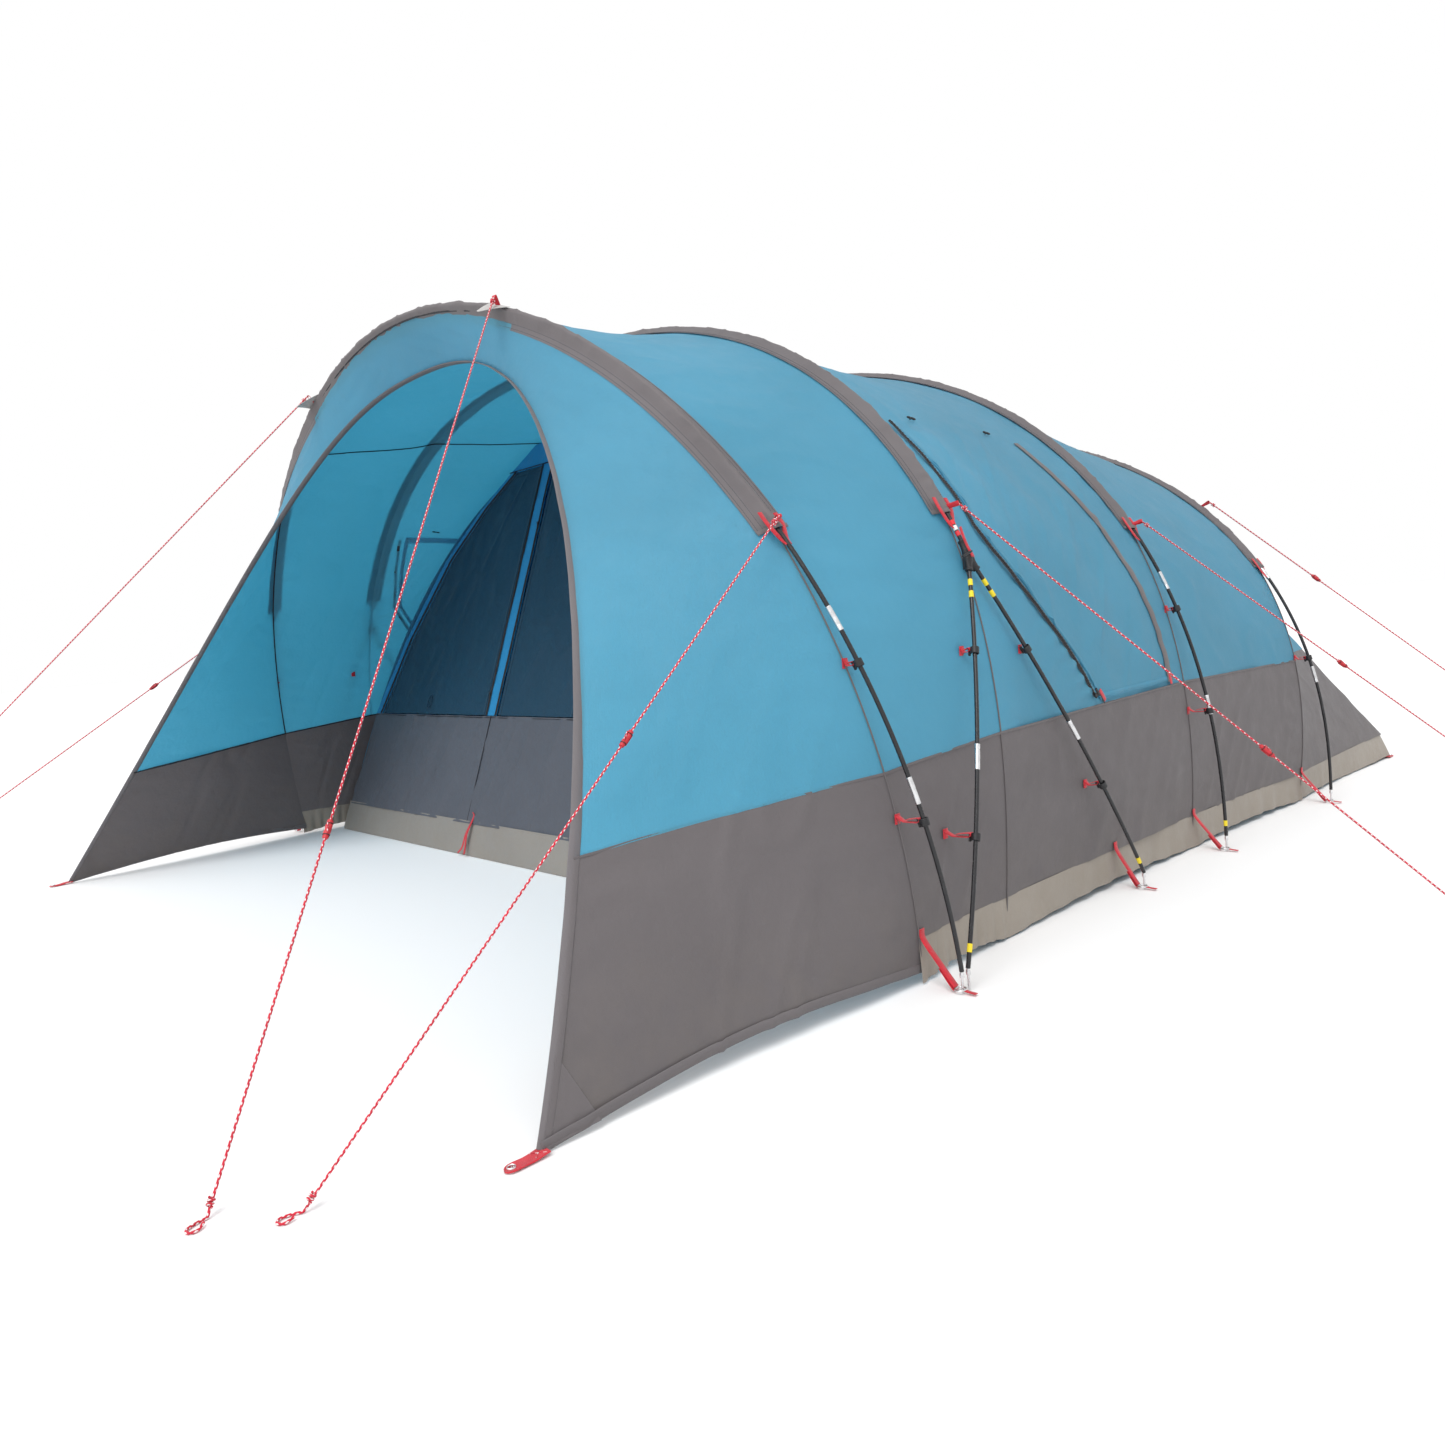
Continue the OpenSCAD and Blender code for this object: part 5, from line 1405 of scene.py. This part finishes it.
def make_feet():
    """Pegging rings, the pins that stand in the pole ends, their webbing and the coloured tape round each
    pole foot."""
    pins, rings, straps = Piece("pole_pin_turnings"), Piece("foot_ring_wires"), Piece("foot_strap_webbing")
    bands = Piece("pole_foot_bands")
    all_feet = feet()
    for side in (1, -1):
        flip = np.array([side, 1, 1])
        for k, foot in enumerate(all_feet):
            base = np.array([foot[0], foot[1], 0.003])
            s = np.array([0, 0.0006, 0.002, 0.03, 0.0335, 0.034, 0.035, 0.043, 0.044, 0.0446, 0.046, 0.049])
            r = np.array([1.6, 2.6, 3.0, 3.0, 3.2, 5.0, 5.4, 5.4, 5.0, 4.6, 4.4, 4.2]) / 1000
            line = base + np.array([0, 0, 1.0]) * s[:, None]
            pins.sweep(line * flip, circle(1, 20)[None] * r[:, None, None])
            if k in (1, 2, 3):
                kind = {1: 4, 2: 5, 3: 2}[k]
                lo, hi = pole_at(kind, 0.085), pole_at(kind, 0.103)
                bands.sweep(np.linspace(lo, hi, 3) * flip, circle(POLE_R + 0.0006, 20))
        for foot in (all_feet[0], all_feet[2], all_feet[3], all_feet[4]):
            angle = np.linspace(0, 2 * PI, 40, endpoint=False)
            ring = np.array([foot[0] - 0.006, foot[1], 0.009])
            wire = ring + np.stack([np.cos(angle) * 0.013, np.sin(angle) * 0.013, np.sin(angle + 1) * 0.0008],
                                   -1)
            rings.sweep(wire * flip, circle(0.0022, 12), closed=True)
            wall = wall_at(foot[1], SKIRT_TOP)
            upper = np.array([wall + 0.008, foot[1], SKIRT_TOP])
            lower = np.array([foot[0] - 0.0175, foot[1], 0.0095])
            points = [upper + np.array([-0.004, 0, 0.025]), upper, mix(upper, lower, 0.5),
                      lower + np.array([-0.004, 0, 0.008]), lower + np.array([0.0005, 0, 0.0035])]
            bent_tape(straps, np.array(points) * flip, 0.02, 0.0018, np.array([0, 1.0, 0]) * flip, 7)
            back = [lower + np.array([0.0005, 0, -0.0042]), lower + np.array([-0.008, 0, 0.002]),
                    mix(upper, lower, 0.6) + np.array([-0.006, 0, 0])]
            bent_tape(straps, np.array(back) * flip, 0.019, 0.0016, np.array([0, 1.0, 0]) * flip, 6)
            tongue = [lower + np.array([0.024, 0, -0.001]), lower + np.array([0.034, 0.001, -0.003]),
                      lower + np.array([0.052, 0.002, -0.004])]
            bent_tape(straps, np.array(tongue) * flip, 0.012, 0.0018, np.array([0, 1.0, 0]) * flip, 5)
    pins.make(steel, slot="bright_steel", replaces=["pole_end_pins"])
    rings.make(steel, slot="bright_steel", replaces=["foot_rings"])
    straps.make(webbing, slot="red_webbing", replaces=["foot_straps"])
    bands.make(tape_yellow, slot="black_plastic")


def make_colour_rings():
    """Coloured tape that tells the poles apart: two yellow turns under each hub, red and white above it."""
    yellow, red, white = Piece("pole_tape_yellow"), Piece("pole_tape_red"), Piece("pole_tape_white")
    for side in (1, -1):
        flip = np.array([side, 1, 1])
        for foot in (FRONT_FOOT, REAR_FOOT):
            for z in (0.93, 0.9):
                lo, hi = leg_at(foot, z - 0.008), leg_at(foot, z + 0.008)
                yellow.sweep(np.linspace(lo, hi, 4) * flip, circle(POLE_R + 0.0007, 20))
        for z, band in ((1.06, red), (1.075, white), (1.09, red)):
            lo, hi = pole_at(1, z - 0.006), pole_at(1, z + 0.006)
            band.sweep(np.linspace(lo, hi, 4) * flip, circle(POLE_R + 0.0007, 20))
    yellow.make(tape_yellow, slot="black_plastic")
    red.make(tape_red, slot="black_plastic")
    white.make(plastic_white, slot="bright_steel")


def make_ties():
    """Red webbing tip at the foot of each sleeve, and the tie that holds each hub up to the second sleeve."""
    p = Piece("sleeve_tip_webbing")
    toggles = Piece("hub_toggles")
    for side in (1, -1):
        flip = np.array([side, 1, 1])
        for i in range(4):
            z = SLEEVE_END[i]
            at = pole_at(i, z)
            up = unit(pole_at(i, z + 0.02) - pole_at(i, z - 0.02))
            out = out_dir(at)
            for s in (-1, 1):
                edge = at + np.array([0, 0.026 * s, 0]) - out * 0.004
                points = [edge + up * 0.045 + out * 0.006, edge + up * 0.01 + out * 0.006,
                          at - up * 0.03 + np.array([0, 0.011 * s, 0]) - out * 0.003,
                          at - up * 0.05 + np.array([0, 0.004 * s, 0])]
                bent_tape(p, np.array(points) * flip, 0.014, 0.0016, np.array([0, 1.0, 0.2]), 6)
        start = HUB + np.array([0.0, -0.004, 0.012])
        tie = [start + np.array([0.004, -0.03, 0.062]), start + np.array([0.006, -0.022, 0.04]),
               start + np.array([0.012, -0.014, 0.012]),
               start + np.array([0.014, 0.004, -0.012]), start + np.array([0.006, 0.018, -0.022])]
        bent_tape(p, np.array(tie) * flip, 0.011, 0.0016, np.array([0, 1.0, 0.3]), 7)
        bar = HUB + np.array([0.018, -0.03, 0.004])
        fat = np.array([0.0022, 0.0032, 0.0036, 0.0028, 0.0036, 0.0032, 0.0022])
        line = bar + np.array([0.1, 1.0, 0.35]) * np.linspace(-0.019, 0.019, 7)[:, None]
        toggles.sweep(line * flip, np.stack([circle(r, 12) for r in fat]))
    p.make(webbing, slot="red_webbing")
    toggles.make(plastic_black, slot="black_plastic")


def make_guy_loops():
    """Folded webbing loops that the guy lines are tied to, each sewn to its sleeve."""
    p = Piece("guy_loop_webbing")
    reinforcement = Piece("guy_loop_patches")
    places = [(1.826, 0, (0.25, -0.55, 0.8), START_FRONT),
              (SLEEVE_END[0] + 0.012, 0, (0.9, -0.4, 0.3), START_1),
              (SLEEVE_END[1] + 0.012, 1, (0.95, 0.3, 0.2), START_2),
              (SLEEVE_END[2] + 0.012, 2, (0.95, 0.2, 0.25), START_3),
              (SLEEVE_END[3] + 0.27, 3, (0.85, 0.3, 0.45), START_4)]
    for side in (1, -1):
        flip = np.array([side, 1, 1])
        for z, i, lean, start in places:
            base = pole_at(i, z)
            out = unit(np.array(lean))
            tip = np.asarray(start, float)
            reach = unit(tip - base)
            a, b = base + out * 0.011, base + out * 0.013 + reach * 0.004
            wide = unit(np.cross(reach, out) + np.array([0, 0.01, 0]))
            lift = np.cross(wide, reach)
            end = base + out * 0.013 + reach * 0.027
            loop = [a - reach * 0.012, b + lift * 0.001, end - reach * 0.004 + lift * 0.004, end,
                    end - reach * 0.004 - lift * 0.004, b - lift * 0.003, a - reach * 0.012 - lift * 0.0025]
            bent_tape(p, np.array(loop) * flip, 0.013, 0.0014, wide * flip, 6)
            cord = [end - reach * 0.004, mix(end, tip, 0.5), tip]
            p.sweep(resample(np.array(cord) * flip, 0.006), circle(GUY_D / 2, 10), slot=1, around_uv=True)
        patch = pole_at(0, 1.826)
        u, c = np.meshgrid(np.linspace(-1, 1, 11), np.linspace(0, 1, 9), indexing="ij")
        along = unit(pole_at(0, 1.8) - pole_at(0, 1.85))
        out = out_dir(patch)
        down = unit(np.cross(along, out))
        down = down if down[1] < 0 else -down
        grid = patch + out * 0.0115 + along * (u * 0.05 * (1 - c * 0.9))[..., None] + down * (c * 0.075)[...,
                                                                                                         None]
        grid = grid - out * (0.016 * c**1.5)[..., None]
        reinforcement.shell(grid * flip, thickness=0.0012)
    p.make(webbing, cord_red, slot="red_webbing", replaces=["guy_loops"])
    reinforcement.make(patch_grey, slot="grey_trim")


plastic_white = plastic_material("white_tape", (0.75, 0.75, 0.73), 0.5)
patch_grey = cloth_material("patch_grey_cloth", (0.46, 0.45, 0.44), 0.05, 0.6)

for number in range(4):
    make_sleeve(number)
make_seams()
make_binding()
make_corner_patches()
make_corner_tabs()
make_poles()
make_hubs()
make_clips()
make_feet()
make_colour_rings()
make_ties()
make_guy_loops()

# ---------- inner tent ----------

FRONT_Y = ARCH_Y[0] + 0.15
FRONT_LEAN = math.radians(20.8)
TUB_H = 0.13
DOOR_FOOT, DOOR_TOP, HEAD_TOP = 0.556, 1.64, 1.752
STRIP_X, STRIP_W = 0.6, 0.09
INNER_Y = (0.0, 0.12, 1.0, 1.9, 2.9)
INNER_W = (1.744, 1.744, 1.744, 1.74, 1.7)
INNER_H = (1.79, 1.79, 1.77, 1.6, 0.56)
FRONT_NORMAL = np.array([0, -math.cos(FRONT_LEAN), math.sin(FRONT_LEAN)])


def front_pt(x, z):
    """A point on the inner tent's leaning front wall."""
    x, z = np.broadcast_arrays(np.asarray(x, float), np.asarray(z, float))
    return np.stack([x, FRONT_Y + z * math.tan(FRONT_LEAN), z], -1)


def front_half_w(z):
    return lookup(z, [(0, 1.74), (0.556, 1.7), (0.9, 1.575), (1.28, 1.35), (1.5, 1.125), (1.64, 0.925),
                      (1.76, 0.74)])


def front_cloth(x, z, amount, seed, calm=None):
    """A grid on the front wall with its slack: creases that fan from its corners, and a soft belly."""
    p = front_pt(x, z)
    calm = 1 if calm is None else calm
    move = noise(p, 0.3, seed) * 0.006 + crease(p @ np.array([[0.9, 0, 0.4], [0, 1, 0], [-0.4, 0, 0.9]]),
                                                (0.09, 1, 0.35), seed + 1) * 0.006
    move = move + noise(p, (0.06, 1, 0.2), seed + 2) * 0.0022
    return p + FRONT_NORMAL * (move * amount * calm)[..., None]


def make_inner_front():
    z, x = np.meshgrid(np.linspace(TUB_H - 0.008, DOOR_FOOT - 0.002, 26), np.linspace(-1, 1, 220),
                       indexing="ij")
    half = 1.725 - 0.027 * (z - TUB_H) / (DOOR_FOOT - TUB_H)
    p = front_cloth(x * half, z, 1.0, 81)
    wall = Piece("inner_front_wall_cloth").shell(p, outward=FRONT_NORMAL)
    wall = wall.make(inner_grey, slot="inner_grey_cloth", replaces=["inner_front_wall"])
    declare(wall)
    trim = Piece("inner_front_piping")
    pulls = Piece("inner_zip_pulls")
    strips = Piece("inner_front_strip_cloth")
    f = np.linspace(0, 1, 70)
    zs = mix(DOOR_FOOT, DOOR_TOP, f)
    for side in (1, -1):
        a, b = (front_half_w(zs) - 0.07), front_half_w(zs) - 0.004
        g = np.linspace(0, 1, 7)[None]
        grid = front_cloth(mix(a[:, None], b[:, None], g) * side, zs[:, None], 0.4, 83)
        strips.shell(grid, outward=FRONT_NORMAL)
        x0, x1 = STRIP_X - STRIP_W / 2, STRIP_X + STRIP_W / 2
        wave0 = 0.006 * np.abs(noise(np.stack([zs * 0, zs, zs], -1), 0.2, 6))
        wave1 = -0.006 * np.abs(noise(np.stack([zs, zs * 0, zs], -1), 0.2, 7))
        grid = front_cloth(mix((x0 + wave0)[:, None], (x1 + wave1)[:, None], g) * side, zs[:, None], 0.35, 84)
        grid = grid + FRONT_NORMAL * 0.003
        strips.shell(grid, outward=FRONT_NORMAL)
        for x, off in ((x0 + 0.007 + wave0, 0.006), (x1 - 0.007 + wave1, 0.006), (a + 0.008, 0.005)):
            line = front_pt(x * side, zs) + FRONT_NORMAL * off
            trim.sweep(line, strap_section(0.014, 0.002), across=(1, 0, 0))
            teeth = resample(line + FRONT_NORMAL * 0.0018, 0.008)
            trim.sweep(teeth, circle(0.0022, 6))
        for x, zz in ((x1 - 0.008, 0.64), (x0 + 0.008, 1.36)):
            at = front_pt(x * side, zz) + FRONT_NORMAL * 0.011
            path = [at + np.array([0, 0, 0.014]), at, at + np.array([0.004 * side, -0.001, -0.02]),
                    at + np.array([0.002, 0, -0.042])]
            bent_tape(pulls, path, 0.007, 0.0024, (1, 0, 0), 5)
    head_z = np.linspace(DOOR_TOP + 0.002, HEAD_TOP, 8)[:, None]
    head = front_cloth(np.linspace(-1, 1, 90)[None] * front_half_w(head_z), head_z, 0.4, 85)
    strips.shell(head, outward=FRONT_NORMAL)
    seam = front_pt(np.linspace(-0.92, 0.92, 60), DOOR_TOP + 0.006) + FRONT_NORMAL * 0.003
    trim.sweep(seam, circle(0.0024, 6))
    foot = front_pt(np.linspace(-1.69, 1.69, 120), DOOR_FOOT - 0.008) + FRONT_NORMAL * 0.001
    trim.sweep(foot, circle(0.0018, 6))
    for side in (1, -1):
        upright = front_pt(np.full(20, 0.6 * side), np.linspace(TUB_H, DOOR_FOOT, 20)) + FRONT_NORMAL * 0.003
        trim.sweep(upright, circle(0.002, 6))
    strips = strips.make(strip_blue, slot="blue_strip_cloth", replaces=["inner_front_strips"])
    declare(strips)
    trim.make(piping, slot="grey_trim")
    pulls.make(plastic_black, slot="black_plastic")


def make_door(number):
    """Door panel, closed: dark breathable cloth with a hem tape along its edges."""
    side = -1 if number <= 2 else 1
    outer = number in (1, 4)
    f, g = np.meshgrid(np.linspace(0, 1, 64), np.linspace(0, 1, 56 if outer else 36), indexing="ij")
    z = mix(DOOR_FOOT + 0.002, DOOR_TOP - 0.002, f)
    if outer:
        x0, x1 = STRIP_X + STRIP_W / 2 + 0.004, front_half_w(z) - 0.074
    else:
        x0, x1 = 0.002, STRIP_X - STRIP_W / 2 - 0.004
    x = mix(x0, x1, g)
    edge = np.minimum(np.minimum(g, 1 - g) * (x1 - x0), np.minimum(f, 1 - f) * 1.08)
    calm = 1 - np.exp(-((edge / 0.06) ** 2))
    p = front_cloth(x * side, z, 1.0, 90 + number, calm)
    body = f"inner_door_{number}"
    door = Piece(f"{body}_cloth").shell(p, outward=FRONT_NORMAL)
    door = door.make(navy, body=body, slot="navy_door_cloth", replaces=[body])
    hem = Piece(f"{body}_hem")
    for path, across in ((p[:, 1], (1, 0, 0)), (p[:, -2], (1, 0, 0)), (p[-2], (0, 0.36, 0.93))):
        hem.sweep(path + FRONT_NORMAL * 0.001, strap_section(0.012, 0.0016), across=across)
    if outer:
        angle = np.linspace(0, 2 * PI, 24, endpoint=False)[:, None]
        ring = front_pt(1.16 * side, 0.61) + FRONT_NORMAL * 0.009
        ring = ring + np.array([1.0, 0, 0]) * np.cos(angle) * 0.014 + np.array([0, 0.36,
                                                                                0.93]) * np.sin(angle) * 0.03
        hem.sweep(ring, circle(0.0024, 8), closed=True)
    hem = hem.make(navy, body=body, slot="navy_door_cloth")
    declare(door)


def inner_pt(k, t):
    c, s = np.cos(t), np.sin(t)
    p = 2 / 2.4
    z = TUB_H + 0.006 + (INNER_H[k] - TUB_H) * np.abs(s) ** p
    lean = (1.0, 1.0, 0.2, 0.1, 0.0)[k]
    y = FRONT_Y + 0.012 + INNER_Y[k] + z * math.tan(FRONT_LEAN) * lean
    return np.stack([INNER_W[k] * np.sign(c) * np.abs(c) ** p, y, z], -1)


def make_inner_tent():
    t = np.linspace(0, PI, 161)
    rows = []
    for k in range(4):
        a, b = inner_pt(k, t), inner_pt(k + 1, t)
        count = max(3, int((INNER_Y[k + 1] - INNER_Y[k]) / 0.035))
        rows.extend([mix(a, b, f) for f in np.linspace(0, 1, count, endpoint=False)])
    rows.append(inner_pt(4, t))
    p = np.stack(rows)
    move = noise(p, 0.4, 95) * 0.012 + crease(p, (0.12, 0.4, 0.25), 96) * 0.008
    calm = np.clip((p[..., 2] - TUB_H) / 0.15, 0, 1) * np.clip((p[..., 1] - FRONT_Y - p[..., 2] * 0.38) / 0.2,
                                                               0, 1)
    p = p - out_dir(p) * (np.abs(move) * calm)[..., None]
    obj = Piece("inner_tent_cloth").shell(p).make(inner_blue, slot="inner_tent_cloth",
                                                  replaces=["inner_tent"])
    declare(obj)


def make_groundsheet():
    """Tub floor: one sheet that turns up round all four sides, with soft corners and a bound upper edge."""
    half_w, y0, y1 = 1.7435, FRONT_Y + 0.001, FRONT_Y + 3.079
    floor = Piece("groundsheet_tub")
    gx, gy = np.meshgrid(mix(-half_w, half_w, np.linspace(0, 1, 110)), mix(y0, y1, np.linspace(0, 1, 98)),
                         indexing="ij")
    flat = np.stack([gx, gy, 0.0022 + 0.0012 * noise(np.stack([gx, gy, gx * 0], -1), 0.3, 97)], -1)
    flat[..., 2] = np.maximum(flat[..., 2], 0.0012)
    floor.shell(flat, outward=(0, 0, 1))
    around = []
    for a, b in (((half_w, y0), (half_w, y1)), ((half_w, y1), (-half_w, y1)), ((-half_w, y1), (-half_w, y0)),
                 ((-half_w, y0), (half_w, y0))):
        around.append(np.linspace(a, b, 110, endpoint=False))
    rim = np.vstack(around + [around[0][:1]])
    z = np.linspace(0.001, TUB_H, 10)
    grid = np.stack([np.broadcast_to(rim[:, None, 0], (len(rim), 10)),
                     np.broadcast_to(rim[:, None, 1], (len(rim), 10)),
                     np.broadcast_to(z[None], (len(rim), 10))], -1).copy()
    centre = np.array([0, (y0 + y1) / 2, 0])
    inward = unit((centre - grid) * np.array([1, 1, 0]))
    axis = np.where(np.abs(grid[..., :1]) > half_w - 1e-4, np.array([1.0, 0, 0]), np.array([0, 1.0, 0]))
    inward = np.sign(inward) * axis
    crumple = 0.5 + 0.5 * noise(grid, (0.07, 0.07, 0.12), 98)
    inward = np.where(grid[..., 1:2] < y0 + 1e-4, 0, inward)
    grid[..., 1] = np.maximum(grid[..., 1], y0 + grid[..., 2] * math.tan(FRONT_LEAN) - 0.004)
    grid = grid + inward * (crumple * 0.007 * (z / TUB_H)[None])[..., None]
    floor.shell(grid, outward=-inward)
    edge = grid[:, -1] + np.array([0, 0, -0.002])
    floor.sweep(edge[:-1], strap_section(0.012, 0.0022), across=(0, 0, 1), closed=True)
    obj = floor.make(tub_beige, slot="groundsheet_cloth", replaces=["groundsheet"])
    declare(obj)
    strap = Piece("groundsheet_ties")
    for x in (-0.55, 0.55):
        top = front_pt(x, 0.15) + FRONT_NORMAL * 0.006
        for fork in (-1, 1):
            points = [top + np.array([0, -0.002, 0.02]), top, top + np.array([fork * 0.004, -0.04, -0.06]),
                      top + np.array([fork * 0.012, -0.06, -0.115]),
                      top + np.array([fork * 0.026, -0.075, -0.138])]
            bent_tape(strap, points, 0.011, 0.0018, (1, 0, 0), 6)
    strap.make(webbing, slot="red_webbing")


make_inner_front()
for number in (1, 2, 3, 4):
    make_door(number)
make_inner_tent()
make_groundsheet()

# ---------- stage ----------


def area_light(name, place, aim, size, power, colour=(1, 1, 1)):
    data = bpy.data.lights.new(name, "AREA")
    data.shape, data.size, data.size_y, data.energy, data.color = "RECTANGLE", size[0], size[1], power, colour
    light = bpy.data.objects.new(name, data)
    light.location = place
    light.rotation_euler = (Vector(aim) - Vector(place)).to_track_quat("-Z", "Y").to_euler()
    bpy.context.scene.collection.objects.link(light)
    return light


def make_stage():
    mesh = bpy.data.meshes.new("floor")
    e = 60
    mesh.from_pydata([(-e, -e, -0.0005), (e, -e, -0.0005), (e, e, -0.0005), (-e, e, -0.0005)], [],
                     [(0, 1, 2, 3)])
    s = Shader("pale_floor")
    mesh.materials.append(s.surface((0.86, 0.86, 0.86), 0.9, Specular_IOR_Level=0.1))
    floor = bpy.data.objects.new("floor", mesh)
    bpy.context.scene.collection.objects.link(floor)
    world = bpy.data.worlds.new("studio")
    world.use_nodes = True
    world.node_tree.nodes["Background"].inputs[0].default_value = (1, 1, 1, 1)
    world.node_tree.nodes["Background"].inputs[1].default_value = 1.0
    bpy.context.scene.world = world
    data = bpy.data.lights.new("sky", "SUN")
    data.energy, data.angle = 1.5, math.radians(35)
    sky = bpy.data.objects.new("sky", data)
    sky.rotation_euler = Vector((-0.25, 0.55, -1)).to_track_quat("-Z", "Y").to_euler()
    bpy.context.scene.collection.objects.link(sky)
    lights = [sky, area_light("key", (1, -8, 5), (0, -1, 0.8), (5, 4), 100)]
    bpy.context.scene.view_settings.view_transform = "Standard"


make_stage()
